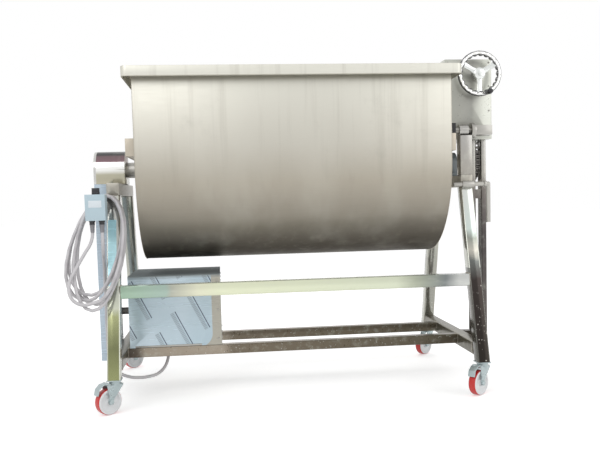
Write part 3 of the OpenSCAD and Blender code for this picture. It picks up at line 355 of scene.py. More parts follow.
@dataclass(frozen=True)
class MirrorBands(Look):
    """Mirror-polished steel with painted reflections, whose tones lie in bands across one axis, and with
    paler edges as a painted highlight.
    """

    name: str
    axis: int
    # Tones of the painted reflections along the axis.
    stops: Stops
    wave: float = 0.02
    grain: Point = (12.0, 12.0, 12.0)
    roughness: float = 0.3
    metallic: float = 0.6
    specks: float = 0.0
    middle: float | None = None
    # Distance from the middle past which the painted highlight lies along the edges, and its colour.
    edge: float = 0.078
    edge_highlight: Color = (0.62, 0.62, 0.60)

    def paint(self, tree: Tree) -> None:
        """Feeds the tree's shader."""
        axes = tree.axes()
        # Painted reflections: the tone is read from the stops along the axis, its borders waved by noise.
        tone = tree.ramp(axes[self.axis] + (tree.noise(self.grain) - 0.5) * self.wave * 2, self.stops)
        cloud = tree.noise(tuple(g * 2.3 for g in self.grain), 4, 0.6)
        tone = tree.mix(tree.span(cloud, 0.5, 0.75) * 0.22, tone, (0.66, 0.68, 0.60))
        if self.specks:
            some = tree.span(tree.noise(55, 2), 0.52, 0.60)
            tone = tree.mix(tree.specks(120.0, (0.26, 0.18), some) * self.specks, tone, (0.72, 0.74, 0.70))
        # Painted highlight along the edges, past a distance from the middle.
        if self.middle is not None:
            away = tree.math("ABSOLUTE", axes[0] - self.middle)
            tone = tree.mix(tree.span(away, self.edge - 0.002, self.edge), tone, self.edge_highlight)
        tree.polish(tone, self.roughness + (cloud - 0.5) * 0.12, self.metallic, 160)


@dataclass(frozen=True)
class SidedLegs(Look):
    """Polished legs with painted reflections by height: the left one shows a field, the right one a dark
    yard; painted highlights lie along their corners.
    """

    name: str = "polished_steel"
    split: float = -0.04
    middles: tuple[float, float] = (-0.7607, 0.6873)
    # Stops of the painted reflections by height, on the left and on the right legs.
    left: Stops = (
        (0.14, (0.30, 0.32, 0.15)), (0.25, (0.19, 0.20, 0.10)), (0.36, (0.40, 0.42, 0.22)),
        (0.40, (0.62, 0.64, 0.52)), (0.50, (0.38, 0.40, 0.38)), (0.84, (0.58, 0.58, 0.54)))
    right: Stops = (
        (0.14, (0.028, 0.024, 0.02)), (0.46, (0.045, 0.036, 0.033)), (0.53, (0.15, 0.16, 0.15)),
        (0.57, (0.50, 0.48, 0.42)), (0.62, (0.30, 0.32, 0.28)), (0.66, (0.60, 0.68, 0.64)),
        (0.84, (0.70, 0.71, 0.68)))
    edge: float = 0.0195
    roughness: float = 0.14
    metallic: float = 0.75

    def paint(self, tree: Tree) -> None:
        """Feeds the tree's shader."""
        x, y, z = tree.axes()
        wave = (tree.noise((30, 30, 12)) - 0.5) * 0.05
        is_right = x > self.split
        # Painted reflections of a field on the left legs and of a dark yard on the right ones.
        tone = tree.mix(is_right, tree.ramp(z + wave, self.left), tree.ramp(z + wave, self.right))
        away = tree.math("MINIMUM", *(tree.math("ABSOLUTE", x - m) for m in self.middles))
        # Painted highlight along the rounded corners, faint low down on the right legs.
        corner = tree.span(away, self.edge, self.edge + 0.002) * (1 - is_right * (z < 0.5) * 0.8)
        tone = tree.mix(corner * 0.85, tone, (0.60, 0.61, 0.55))
        # Rear legs mostly take one plain mid tone in place of the painted reflections.
        tone = tree.mix(tree.span(y, 0.1, 0.14) * 0.8, tone, (0.45, 0.45, 0.40))
        some = tree.span(tree.noise(48, 2), 0.50, 0.60) * is_right * (z < 0.43)
        tone = tree.mix(tree.specks(95.0, (0.28, 0.20), some) * 0.8, tone, (0.62, 0.60, 0.55))
        tree.polish(tone, self.roughness, self.metallic, 170)


@dataclass(frozen=True)
class FilmedSteel(Look):
    """Stainless sheet under its pale blue protective film, whose print is plain slanted lines; with the print
    comes a painted shade along the box's top.
    """

    name: str = "filmed_steel"
    film: Color = (0.49, 0.62, 0.70)
    pale: Color = (0.62, 0.74, 0.82)
    ink: Color = (0.035, 0.05, 0.10)
    hatch: Color = (0.28, 0.34, 0.39)
    bare: Color = (0.46, 0.44, 0.375)
    # Colour of the painted shade along the box's top.
    top_shade: Color = (0.24, 0.27, 0.275)
    lane: float = 0.095
    period: float = 0.24
    slope: tuple[float, float] = (0.895, 0.446)
    line: float = 0.022
    edge_x: float = -0.388
    edge_z: float = 0.196
    edge_r: float = 0.055
    front_y: float = -0.155
    top_z: float = 0.498
    # Whether the print and the painted shade along the box's top are laid on.
    printed_and_shaded: bool = True

    def paint(self, tree: Tree) -> None:
        """Feeds the tree's shader."""
        z = tree.axes()[2]
        tone = tree.mix(tree.span(tree.noise((3, 3, 2)), 0.38, 0.66), self.film, self.pale)
        if self.printed_and_shaded:
            tone = self._print_and_shade(tree, tone)
        wrinkle = tree.noise((3, 3, 40), 5, 0.6)
        top = tree.span(z, self.top_z - 0.006, self.top_z - 0.002) * float(self.printed_and_shaded)
        tree.set(Base_Color=tone, Metallic=0.2 - top * 0.2, Coat_Weight=0.5 - top * 0.5,
                 Roughness=tree.clamp(0.25 + (wrinkle - 0.5) * 0.3 + top * 0.7))
        tree.bump(wrinkle, 0.0005, 0.3)

    def _print_and_shade(self, tree: Tree, tone: Value) -> Value:
        """Adds the slanted lines, the film's rounded corner and the painted shade along the box's top.

        Args:
            tree: the material's tree.
            tone: the film's own colour.

        Returns:
            The colour.
        """
        x, y, z = tree.axes()
        side, down = self.slope
        flat = x + (y - self.front_y) * 0.8
        across = (flat * side + z * down) / self.lane
        along = (flat * down - z * side) / self.period
        lane = tree.math("FRACT", across)
        step = tree.math("FRACT", along + tree.math("FLOOR", across) * 0.19 + 0.071)
        inked = tree.span(step, 0.0, 0.01) * (1 - tree.span(step, 0.72, 0.73))
        middle = tree.math("ABSOLUTE", lane - 0.5)
        line = (1 - tree.span(middle, self.line * 0.7, self.line * 1.2)) * inked
        band = tree.span(lane, 0.25, 0.27) * (1 - tree.span(lane, 0.42, 0.44)) * inked
        fine = tree.math("FRACT", along * 34) > 0.45
        past_x = tree.math("MAXIMUM", x - (self.edge_x - self.edge_r), 0.0)
        past_z = tree.math("MAXIMUM", (self.edge_z + self.edge_r) - z, 0.0)
        far = tree.math("SQRT", past_x * past_x + past_z * past_z)
        high = z + (tree.noise(8) - 0.5) * 0.012
        layers = ((band * (0.35 + fine * 0.4), self.hatch),
                  (line * 0.95, self.ink),
                  (tree.span(far, self.edge_r, self.edge_r + 0.002) * (y < self.front_y), self.bare),
                  # Painted shade: a dark band along the top of the front, and the top face dark.
                  (tree.span(high, self.top_z - 0.016, self.top_z - 0.008) * 0.5, self.top_shade),
                  (tree.span(z, self.top_z - 0.006, self.top_z - 0.002), self.top_shade))
        for cover, color in layers:
            tone = tree.mix(cover, tone, color)
        return tone


@dataclass(frozen=True)
class RimChrome(Look):
    """Chrome of the handwheel's rim with painted reflections: dark along its outer and inner sides, bright
    between.
    """

    name: str = "rim_chrome"
    middle: tuple[float, float] = (0.7627, 1.3046)
    ring: float = 0.085
    reach: float = 0.012
    # Tones of the painted reflections across the rim.
    bright: Color = (0.96, 0.96, 0.93)
    grey: Color = (0.36, 0.36, 0.36)
    dark: Color = (0.10, 0.10, 0.105)

    def paint(self, tree: Tree) -> None:
        """Feeds the tree's shader."""
        x, _, z = tree.axes()
        along, up = x - self.middle[0], z - self.middle[1]
        away = tree.math("SQRT", along * along + up * up) - self.ring
        flow = tree.noise((40, 40, 40), 2)
        # Painted reflections: tone by distance across the rim's section.
        share = (away + (flow - 0.5) * 0.004 + self.reach) / (2 * self.reach)
        tone = tree.ramp(share, [(0.0, self.grey), (0.12, self.dark), (0.26, self.grey),
                                 (0.38, self.bright), (0.60, self.bright), (0.72, self.grey),
                                 (0.84, self.dark), (1.0, self.dark)])
        tree.set(Base_Color=tone, Metallic=0.85, Specular_IOR_Level=0.3,
                 Roughness=tree.clamp(0.12 + (flow - 0.5) * 0.1))


@dataclass(frozen=True)
class Sheathing(Look):
    """Cable sheath: grey with long darker smears, a slight sheen and fine pressing marks."""

    name: str = "cable_sheath"
    color: Color = (0.60, 0.585, 0.60)
    dirt: Color = (0.33, 0.31, 0.33)

    def paint(self, tree: Tree) -> None:
        """Feeds the tree's shader."""
        slow = tree.noise(14, 4)
        tree.set(Base_Color=tree.mix(tree.span(slow, 0.42, 0.75) * 0.5, self.color, self.dirt),
                 Roughness=tree.clamp(0.42 + (slow - 0.5) * 0.3))
        tree.bump(tree.noise(260, 2), 0.0002, 0.3)


def placed(name: str, data: bpy.types.ID) -> Object:
    """An object of the data, linked to the scene."""
    made = bpy.data.objects.new(name, data)
    bpy.context.scene.collection.objects.link(made)
    return made


@dataclass
class Studio:
    """Plain pale floor, soft lights and the camera at the photograph's angle."""

    floor_size: float = 60.0
    floor_color: Color = (0.86, 0.86, 0.86)
    floor_glow: float = 0.42
    world_fill: float = 0.68
    lamps: tuple[tuple[str, Point, float, float], ...] = (
        ("key", (-2.6, -3.4, 3.6), 3.2, 62.0), ("fill", (3.2, -2.6, 2.2), 2.8, 32.0),
        ("back", (0.4, 3.4, 3.2), 3.2, 50.0))
    aim: Point = (0, 0, 0.7)
    camera_at: Point = (-0.3324, -3.28426, 0.7901)
    yaw: float = 0.102
    pitch: float = 0.070
    roll: float = -0.026
    lens: float = 45.1
    shift_y: float = 0.03697

    def camera(self) -> None:
        """Makes the camera."""
        forward = Vector((math.sin(self.yaw) * math.cos(self.pitch),
                          math.cos(self.yaw) * math.cos(self.pitch), -math.sin(self.pitch)))
        right = Vector((math.cos(self.yaw), -math.sin(self.yaw), 0))
        up = right.cross(forward)
        side = right * math.cos(self.roll) + up * math.sin(self.roll)
        top = -right * math.sin(self.roll) + up * math.cos(self.roll)
        data = bpy.data.cameras.new("camera")
        data.sensor_width = 36.0
        data.lens = self.lens
        data.shift_y = self.shift_y
        data.clip_end = 200.0
        made = placed("camera", data)
        turn = Matrix((side, top, -forward)).transposed().to_4x4()
        made.matrix_world = Matrix.Translation(self.camera_at) @ turn
        bpy.context.scene.camera = made

    def floor(self) -> None:
        """Makes the floor, which the camera and glossy rays see white, with the object's shadow."""
        half = self.floor_size / 2
        mesh = bpy.data.meshes.new("floor")
        mesh.from_pydata([(-half, -half, 0), (half, -half, 0), (half, half, 0), (-half, half, 0)], [],
                         [(0, 1, 2, 3)])
        tree = Tree("floor")
        tree.set(Base_Color=self.floor_color, Roughness=0.95, Emission_Strength=self.floor_glow,
                 Emission_Color=tree.mix(tree.seen(), (0.0, 0.0, 0.0), (1.0, 1.0, 1.0)))
        mesh.materials.append(tree.owner)
        placed("floor", mesh)

    def lights(self) -> None:
        """Makes the world and the lamps."""
        tree = Tree("studio", world=True)
        tree.set(Color=(1.0, 1.0, 1.0), Strength=self.world_fill + tree.seen() * (1 - self.world_fill))
        bpy.context.scene.world = tree.owner
        for name, at, size, power in self.lamps:
            data = bpy.data.lights.new(name, "AREA")
            data.size = size
            data.energy = power
            made = placed(name, data)
            made.location = at
            made.rotation_euler = (Vector(self.aim) - Vector(at)).to_track_quat("-Z", "Y").to_euler()

    def make(self) -> None:
        """Makes the whole studio."""
        bpy.context.scene.view_settings.view_transform = "Standard"
        self.camera()
        self.floor()
        self.lights()


def ended(made: bmesh.types.BMesh, name: str, angle: float) -> Mesh:
    """Ends a bmesh as a mesh, smooth but for edges sharper than the angle, in degrees."""
    mesh = bpy.data.meshes.new(name)
    made.to_mesh(mesh)
    made.free()
    mesh.polygons.foreach_set("use_smooth", [True] * len(mesh.polygons))
    mesh.set_sharp_from_angle(angle=math.radians(angle))
    return mesh


@dataclass
class Workshop:
    """Turns finished meshes into pieces of the mixer, each riding on its body."""

    frame: dict
    finishes: dict[Slot, Material]
    extras: dict[str, Material]
    made: int = 0
    weld: float = 2e-6
    flat_angle: float = 0.4
    edge_angle: float = 30.0
    sharp_angle: float = 40.0

    def __post_init__(self) -> None:
        """Finds where the machine's own middle lies in the row's frame."""
        low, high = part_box("trough_shell")
        self.shift = Vector(((low.x + high.x) / 2, (low.y + high.y) / 2, 0))

    def at(self, x: float, y: float, z: float) -> Vector:
        """A point given in the machine's millimetres, in the row's metres."""
        return Vector((x, y, z)) * MM + self.shift

    def piece(self, name: str, mesh: Mesh, body: str, slot: Slot,
              replaces: Sequence[str] = (), look: str | None = None) -> Object:
        """Finishes a mesh as one piece.

        Args:
            name: the piece's name.
            mesh: its mesh, in the row's frame.
            body: the CAD body that it rides on.
            slot: the record's slot of its finish.
            replaces: CAD nodes that it stands for.
            look: name of an extra material, where the slot's own isn't worn.

        Returns:
            The piece.
        """
        mesh.materials.clear()
        mesh.materials.append(self.extras[look] if look else self.finishes[slot])
        made = placed(name, mesh)
        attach(made, body)
        if replaces:
            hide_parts(*replaces)
        self.made += 1
        log.info("%s: %d faces on %s", name, len(mesh.polygons), body)
        return made

    def dress(self, node: str, slot: Slot) -> None:
        """Gives a CAD node's object its finish."""
        target = self.frame["nodes"][node]
        for holder in target.material_slots:
            holder.material = self.finishes[slot]
        if not target.material_slots:
            target.data.materials.append(self.finishes[slot])

    def body(self, node: str) -> str:
        """The body that a CAD node rides on."""
        return self.frame["nodes"][node]["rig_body"]

    def softened(self, node: str, width: float, segments: int = 2, long: float = 0.0) -> Mesh:
        """A copy of a CAD node's mesh with its outer edges rounded.

        Args:
            node: the CAD node.
            width: rounding in millimetres.
            segments: steps of the rounding.
            long: least length of a rounded edge, in millimetres.

        Returns:
            The new mesh.
        """
        made = bmesh.new()
        made.from_mesh(self.frame["nodes"][node].data)
        bmesh.ops.remove_doubles(made, verts=made.verts, dist=self.weld)
        bmesh.ops.dissolve_limit(made, angle_limit=math.radians(self.flat_angle), verts=made.verts,
                                 edges=made.edges, delimit={"NORMAL"})
        least = math.radians(self.edge_angle)
        sharp = [e for e in made.edges
                 if len(e.link_faces) == 2 and e.calc_face_angle_signed(0) > least
                 and e.calc_length() > long * MM]
        if sharp:
            bmesh.ops.bevel(made, geom=sharp, offset=width * MM, segments=segments, profile=0.5,
                            affect="EDGES", clamp_overlap=True)
        return ended(made, node + "_soft", self.sharp_angle)

    def replace_soft(self, node: str, slot: Slot, width: float, segments: int = 2, long: float = 0.0,
                     look: str | None = None) -> None:
        """Replaces a CAD node by its softened copy."""
        mesh = self.softened(node, width, segments, long)
        self.piece(node + "_soft", mesh, self.body(node), slot, (node,), look)


def wound(rows: int, columns: int, ring: bool = False) -> list[tuple[int, ...]]:
    """Faces of a body wound from rows of points.

    Args:
        rows: number of rows.
        columns: points of each row, joined round.
        ring: whether the last row meets the first, instead of a cap on both.

    Returns:
        The faces, as numbers of points.
    """
    faces = [(r * columns + c, r * columns + (c + 1) % columns,
              (r + 1) % rows * columns + (c + 1) % columns, (r + 1) % rows * columns + c)
             for r in range(rows if ring else rows - 1) for c in range(columns)]
    if not ring:
        faces.append(tuple(reversed(range(columns))))
        faces.append(tuple(range(columns * (rows - 1), columns * rows)))
    return faces


def shell(verts: Sequence[Sequence[float]], faces: Iterable[Sequence[int]], name: str,
          angle: float) -> Mesh:
    """A closed mesh of points and faces, with its normals outward.

    Args:
        verts: the points; those that meet are made one.
        faces: numbers of points.
        name: the mesh's name.
        angle: least bend of a sharp edge, in degrees.

    Returns:
        The mesh.
    """
    made = bmesh.new()
    points = [made.verts.new(v) for v in verts]
    for face in faces:
        made.faces.new([points[k] for k in face])
    bmesh.ops.remove_doubles(made, verts=made.verts, dist=1e-6)
    bmesh.ops.recalc_face_normals(made, faces=made.faces)
    return ended(made, name, angle)


def circle(sides: int) -> list[tuple[float, float]]:
    """Cosine and sine of even steps round."""
    return [(math.cos(math.tau * k / sides), math.sin(math.tau * k / sides)) for k in range(sides)]


def tube(path: Sequence[Vector], radius: float, sides: int, name: str) -> Mesh:
    """A closed round tube along a path, its frame carried from ring to ring.

    Args:
        path: points of the centre line.
        radius: in metres.
        sides: points round the tube.
        name: the mesh's name.

    Returns:
        The mesh.
    """
    count = len(path)
    tangents = [(path[min(i + 1, count - 1)] - path[max(i - 1, 0)]).normalized() for i in range(count)]
    first = tangents[0].orthogonal().normalized()
    verts = []
    for point, tangent in zip(path, tangents):
        first = (first - tangent * first.dot(tangent)).normalized()
        second = tangent.cross(first)
        verts += [point + radius * (c * first + s * second) for c, s in circle(sides)]
    return shell(verts, wound(count, sides), name, 60)


def turned(profile: Sequence[tuple[float, float]], sides: int, name: str, base: Vector = Vector(),
           axis: Vector = UP, angle: float = 38.0, ring: bool = False) -> Mesh:
    """A solid of revolution.

    Args:
        profile: (radius, height along the axis) from one end to the other, in metres.
        sides: steps round.
        name: the mesh's name.
        base: where the height is 0.
        axis: its direction.
        angle: least bend of a sharp edge, in degrees.
        ring: whether the profile is a closed loop.

    Returns:
        The mesh.
    """
    turn = UP.rotation_difference(axis)
    verts = [base + turn @ Vector((r * c, r * s, h)) for r, h in profile for c, s in circle(sides)]
    return shell(verts, wound(len(profile), sides, ring), name, angle)


def joined(meshes: Iterable[Mesh], name: str) -> Mesh:
    """Several meshes as one."""
    made = bmesh.new()
    for mesh in meshes:
        made.from_mesh(mesh)
    whole = bpy.data.meshes.new(name)
    made.to_mesh(whole)
    made.free()
    return whole


def smooth_route(points: Sequence[Vector], steps: int) -> list[Vector]:
    """Catmull-Rom curve through the points."""
    route = []
    for i in range(len(points) - 1):
        a, b = points[max(i - 1, 0)], points[i]
        c, d = points[i + 1], points[min(i + 2, len(points) - 1)]
        for s in range(steps):
            t = s / steps
            route.append(0.5 * ((2 * b) + (c - a) * t + (2 * a - 5 * b + 4 * c - d) * t * t
                                + (3 * b - a - 3 * c + d) * t * t * t))
    return route + [points[-1]]


def length_of(path: Sequence[Vector]) -> float:
    """Length of a line through points."""
    return sum((b - a).length for a, b in zip(path, path[1:]))


def plate(width: float, height: float, depth: float, corner: float, name: str,
          rise: float = 0.0) -> Mesh:
    """A plate with round corners and softened edges, in X and Z, its front towards -Y at 0.

    Args:
        width: along X, in metres.
        height: along Z.
        depth: behind its front.
        corner: radius of its corners.
        name: the mesh's name.
        rise: how far its middle is folded out by a cross break.

    Returns:
        The mesh.
    """
    steps = 6
    ring = []
    for sx, sz, start in ((1, 1, 0), (-1, 1, 90), (-1, -1, 180), (1, -1, 270)):
        for angle in (math.radians(start + 90 * k / steps) for k in range(steps + 1)):
            ring.append((sx * (width / 2 - corner) + corner * math.cos(angle),
                         sz * (height / 2 - corner) + corner * math.sin(angle)))
    soft = min(depth * 0.45, corner * 0.5)
    rows = [(depth, 0.0), (soft, 0.0), (soft * 0.3, soft * 0.3), (0.0, soft)]
    verts = [(x * (1 - 2 * inset / width), deep, z * (1 - 2 * inset / height))
             for deep, inset in rows for x, z in ring]
    count, tip = len(ring), len(verts)
    last = tip - count
    fan = [(last + (k + 1) % count, last + k, tip) for k in range(count)]
    return shell([*verts, (0.0, -rise, 0.0)], wound(len(rows), count)[:-1] + fan, name, 25)


def moved(mesh: Mesh, matrix: Matrix) -> Mesh:
    """A mesh put in its place."""
    mesh.transform(matrix)
    return mesh


class Recipe:
    """A Geometry Nodes tree with named inputs, run on a mesh and baked to a plain mesh."""

    def __init__(self, name: str, **inputs: tuple[str, object]) -> None:
        """Starts the tree with its inputs: label to (socket type, default)."""
        self.name = name
        self.tree = bpy.data.node_groups.new(name, "GeometryNodeTree")
        face = self.tree.interface
        face.new_socket("Geometry", in_out="INPUT", socket_type="NodeSocketGeometry")
        for label, (kind, default) in (inputs | {"Finish": ("Material", None)}).items():
            made = face.new_socket(label, in_out="INPUT", socket_type="NodeSocket" + kind)
            if default is not None:
                made.default_value = default
        face.new_socket("Geometry", in_out="OUTPUT", socket_type="NodeSocketGeometry")
        self.start = self.tree.nodes.new("NodeGroupInput").outputs
        self.end = self.tree.nodes.new("NodeGroupOutput").inputs[0]

    def node(self, kind: str, inputs: dict | None = None, out: int = 0,
             **settings: object) -> Socket:
        """Adds one node.

        Args:
            kind: the node's type; "GeometryNode" is left out.
            inputs: socket name or number to a socket or a constant.
            out: number of the output that is wanted.
            settings: its properties.

        Returns:
            The output.
        """
        full = kind if kind.startswith(("ShaderNode", "FunctionNode")) else "GeometryNode" + kind
        made = self.tree.nodes.new(full)
        for name, value in settings.items():
            setattr(made, name, value)
        for key, value in (inputs or {}).items():
            if isinstance(value, Socket):
                self.tree.links.new(value, made.inputs[key])
            else:
                made.inputs[key].default_value = value
        return made.outputs[out]

    def math(self, operation: str, *values: "Socket | float") -> Socket:
        """One Math node on the values."""
        return self.node("ShaderNodeMath", dict(enumerate(values)), operation=operation)

    def random(self, **ends: Socket) -> Socket:
        """A random number for each instance, between 0 and 1 where no end is given."""
        made = self.node("FunctionNodeRandomValue", {"Seed": self.start["Seed"]}, 1, data_type="FLOAT")
        for name, value in ends.items():
            socket = next(i for i in made.node.inputs if i.name == name and i.enabled)
            self.tree.links.new(value, socket)
        return made

    def finish(self, geometry: Socket) -> "Recipe":
        """Ends the tree in Realize Instances and Set Material."""
        real = self.node("RealizeInstances", {0: geometry})
        dressed = self.node("SetMaterial", {"Geometry": real, "Material": self.start["Finish"]})
        self.tree.links.new(dressed, self.end)
        return self

    def run(self, base: Mesh, **values: object) -> Mesh:
        """Runs the tree on a mesh.

        Args:
            base: the mesh that the tree starts from.
            values: input label to value.

        Returns:
            The plain mesh that comes out.
        """
        holder = placed(self.name, base)
        modifier = holder.modifiers.new(self.name, "NODES")
        modifier.node_group = self.tree
        for item in self.tree.interface.items_tree:
            if item.item_type == "SOCKET" and item.in_out == "INPUT" and item.name in values:
                modifier[item.identifier] = values[item.name]
        ready = holder.evaluated_get(bpy.context.evaluated_depsgraph_get())
        mesh = bpy.data.meshes.new_from_object(ready)
        holder.modifiers.remove(modifier)
        bpy.data.objects.remove(holder)
        return mesh


def spread_recipe() -> Recipe:
    """Sets one head, such as a screw's, on every point along the point's own aim."""
    made = Recipe("spread_heads", Head=("Object", None), Size=("Float", 1.0), Spin=("Float", 0.5),
                  Seed=("Int", 7))
    head = made.node("ObjectInfo", {"Object": made.start["Head"]}, transform_space="ORIGINAL")
    aim = made.node("InputNamedAttribute", {"Name": "aim"}, data_type="FLOAT_VECTOR")
    turn = made.node("FunctionNodeAlignRotationToVector", {"Vector": aim}, axis="Z")
    size = made.node("ShaderNodeCombineXYZ", {k: made.start["Size"] for k in range(3)})
    heads = made.node("InstanceOnPoints", {"Points": made.start["Geometry"], "Rotation": turn, "Scale": size,
                                           "Instance": head.node.outputs["Geometry"]})
    about = made.node("ShaderNodeCombineXYZ", {2: made.random(Max=made.start["Spin"])})
    return made.finish(made.node("RotateInstances", {"Instances": heads, "Rotation": about}))


def bead_recipe() -> Recipe:
    """Lays overlapping weld ripples along the lines of a mesh."""
    made = Recipe("weld_bead", Pitch=("Float", 0.0034), Radius=("Float", 0.0024), Wander=("Float", 0.25),
                  Seed=("Int", 3))
    line = made.node("MeshToCurve", {"Mesh": made.start["Geometry"]})
    even = made.node("ResampleCurve", {"Curve": line, "Length": made.start["Pitch"]}, mode="LENGTH")
    points = made.node("CurveToPoints", {"Curve": even}, mode="EVALUATED")
    ripple = made.node("MeshIcoSphere", {"Radius": made.start["Radius"], "Subdivisions": 2})
    flat = made.node("Transform", {"Geometry": ripple, "Scale": (1.0, 1.0, 0.62)})
    size = made.random(Min=made.math("SUBTRACT", 1.0, made.start["Wander"]))
    return made.finish(made.node("InstanceOnPoints", {
        "Points": points, "Instance": flat, "Rotation": points.node.outputs["Rotation"], "Scale": size}))


def rim_recipe() -> Recipe:
    """Handwheel rim: a ring whose inner side swells in finger waves."""
    made = Recipe("waved_rim", Ring=("Float", 0.085), Tube=("Float", 0.011), Waves=("Float", 21.0),
                  Swell=("Float", 0.3), Steps=("Int", 252))
    ring, thick = made.start["Ring"], made.start["Tube"]
    line = made.node("CurvePrimitiveCircle", {"Resolution": made.start["Steps"], "Radius": ring},
                     mode="RADIUS")
    share = made.node("SplineParameter").node.outputs["Factor"]
    angle = made.math("MULTIPLY", made.math("MULTIPLY", share, math.tau), made.start["Waves"])
    swell = made.math("MULTIPLY", made.math("COSINE", angle), made.start["Swell"])
    half = made.math("MULTIPLY_ADD", swell, 0.5, 1.0)
    inward = made.math("MULTIPLY", made.math("MULTIPLY", swell, thick), -0.5)
    out = made.node("ShaderNodeVectorMath", {0: made.node("InputPosition")}, operation="NORMALIZE")
    shift = made.node("ShaderNodeVectorMath", {0: out, "Scale": inward}, operation="SCALE")
    waved = made.node("SetPosition", {"Geometry": line, "Offset": shift})
    section = made.node("CurvePrimitiveCircle", {"Resolution": 20, "Radius": thick}, mode="RADIUS")
    sized = made.node("SetCurveRadius", {"Curve": waved, "Radius": half})
    rim = made.node("CurveToMesh", {"Curve": sized, "Profile Curve": section, "Scale": half})
    return made.finish(made.node("SetShadeSmooth", {0: rim}))


def line_mesh(lines: Iterable[Sequence[Vector]], name: str) -> Mesh:
    """Open lines as a mesh of edges; a closed one repeats its first point."""
    verts, edges = [], []
    for line in lines:
        start = len(verts)
        verts += [tuple(p) for p in line]
        edges += [(start + k, start + k + 1) for k in range(len(line) - 1)]
    mesh = bpy.data.meshes.new(name)
    mesh.from_pydata(verts, edges, [])
    return mesh


def leg_y(z: float) -> float:
    """How far a leg's middle is from the machine's, at a height; millimetres."""
    return LEG_FOOT - LEG_SLOPE * (z - LEG_FOOT_Z)


@dataclass
class Fixings:
    """Screws, bolt heads and weld beads over the whole machine; places in millimetres."""

    screw_size: float = 0.0042
    flange_size: float = 0.0032
    flange_x: float = 632.2
    flange_r: float = 30.5
    axis_z: float = 940.0
    cover_y: float = -150.6
    drive_x: float = -311.8
    drive_y: float = -177.2
    guard_x: float = -822.2
    rail_x: float = 698.2
    rail_y: float = 157.0
    rail_half: float = 20.0
    beam_x: float = 724.0
    wall_x: float = 619.4
    wall_r: float = 380.2

    def heads(self) -> tuple[Object, Object]:
        """One domed head and one hexagon head with its washer, as unseen patterns of unit size."""
        washer = turned([(0.0, 0.0), (1.5, 0.0), (1.5, 0.12), (1.42, 0.2), (0.4, 0.2)], 20, "washer")
        cap = turned([(0.0, 0.2), (1.0, 0.2), (1.0, 0.78), (0.86, 0.92), (0.0, 0.92)], 6, "cap")
        dome = turned([(0.0, 0.0), (1.0, 0.0), (0.98, 0.14), (0.82, 0.38), (0.5, 0.54), (0.3, 0.58),
                       (0.28, 0.34), (0.0, 0.34)], 16, "dome")
        return (bpy.data.objects.new("domed_head", dome),
                bpy.data.objects.new("hexagon_head", joined((washer, cap), "hexagon_head")))

    def points(self, places: Sequence[tuple[Vector, Vector]]) -> Mesh:
        """Points with their aims as a mesh attribute."""
        mesh = bpy.data.meshes.new("places")
        mesh.from_pydata([tuple(at) for at, _ in places], [], [])
        aim = mesh.attributes.new("aim", "FLOAT_VECTOR", "POINT")
        for k, (_, way) in enumerate(places):
            aim.data[k].vector = way
        return mesh

    def make(self, shop: Workshop) -> None:
        """Makes every fixing."""
        dome, hexagon = self.heads()
        at = shop.at
        front, right, left = Vector((0, -1, 0)), Vector((1, 0, 0)), Vector((-1, 0, 0))
        tall = (1052, 1155, 1258, 1358)
        cover = [(at(x, self.cover_y, z), front)
                 for x, rows in ((676, tall), (855, tall), (765, (1052, 1358))) for z in rows]
        drive = [(at(-325, self.drive_y, z), front) for z in (228, 350, 470)]
        drive += [(at(self.drive_x, y, z), right) for y in (-160, 0, 160) for z in (228, 470)]
        guard = [(at(self.guard_x, y, z), left)
                 for half, rows in ((64, (898, 972)), (66, (160, 400, 640, 860)))
                 for y in (-half, half) for z in rows]
        angles = [math.radians(30 + 60 * k) for k in range(6)]
        flange = [(at(side * self.flange_x, self.flange_r * math.cos(a),
                      self.axis_z + self.flange_r * math.sin(a)), Vector((side, 0, 0)))
                  for side in (-1, 1) for a in angles]
        spread = spread_recipe()
        for name, places, head, size, spin, body in (
                ("cover_screws", cover, dome, self.screw_size, 1.5, "frame"),
                ("drive_box_screws", drive, dome, self.screw_size, 1.5, "frame"),
                ("guard_screws", guard, dome, self.screw_size, 1.5, "frame"),
                ("trunnion_screws", flange, hexagon, self.flange_size, 1.0, "trough")):
            mesh = spread.run(self.points(places), Head=head, Size=size, Spin=spin,
                              Finish=shop.finishes[Slot.PLAIN])
            shop.piece(name, mesh, body, Slot.PLAIN)
        self.welds(shop)

    def welds(self, shop: Workshop) -> None:
        """Makes the weld beads of the frame and of the trough."""
        at = shop.at
        frame: list[list[Vector]] = []
        for x in (-self.rail_x, self.rail_x):
            y = -leg_y(453)
            frame.append([at(x, y + dy, z) for dy, z in ((-25, 428), (-25, 478), (25, 478), (25, 428),
                                                         (-25, 428))])
            for side in (-self.rail_y, self.rail_y):
                edges = (side - self.rail_half, side + self.rail_half)
                frame += [[at(x, edge, z) for z in (161, 201)] for edge in edges]
                frame.append([at(x, edge, 201.3) for edge in edges])
        for x in (-self.beam_x, self.beam_x):
            for side in (-1, 1):
                y = side * leg_y(831) - 26
                frame.append([at(x + edge, y, 830.4) for edge in (-25, 25)])
                y = side * (leg_y(201) - 26.4)
                frame += [[at(x + edge, y, 155), at(x + edge, y - side * 11, 200)] for edge in (-25.4, 25.4)]
        trough: list[list[Vector]] = []
        for side in (-1, 1):
            x, radius = side * self.wall_x, self.wall_r
            arc = [at(x, radius * math.cos(a), self.axis_z + radius * math.sin(a))
                   for a in (math.radians(180 + 3 * k) for k in range(61))]
            trough.append([at(x, -radius, 1268), *arc, at(x, radius, 1268)])
            trough += [[at(side * 620.6, y, z) for y in (-298, 298)] for z in (980, 1050)]
        bead = bead_recipe()
        steel = shop.extras["weld"]
        mesh = bead.run(line_mesh(frame, "frame_lines"), Finish=steel)
        shop.piece("frame_welds", mesh, "frame", Slot.SATIN, look="weld")
        mesh = bead.run(line_mesh(trough, "trough_lines"), Pitch=0.004, Radius=0.0016, Finish=steel)
        shop.piece("trough_welds", mesh, "trough", Slot.SATIN, look="weld")


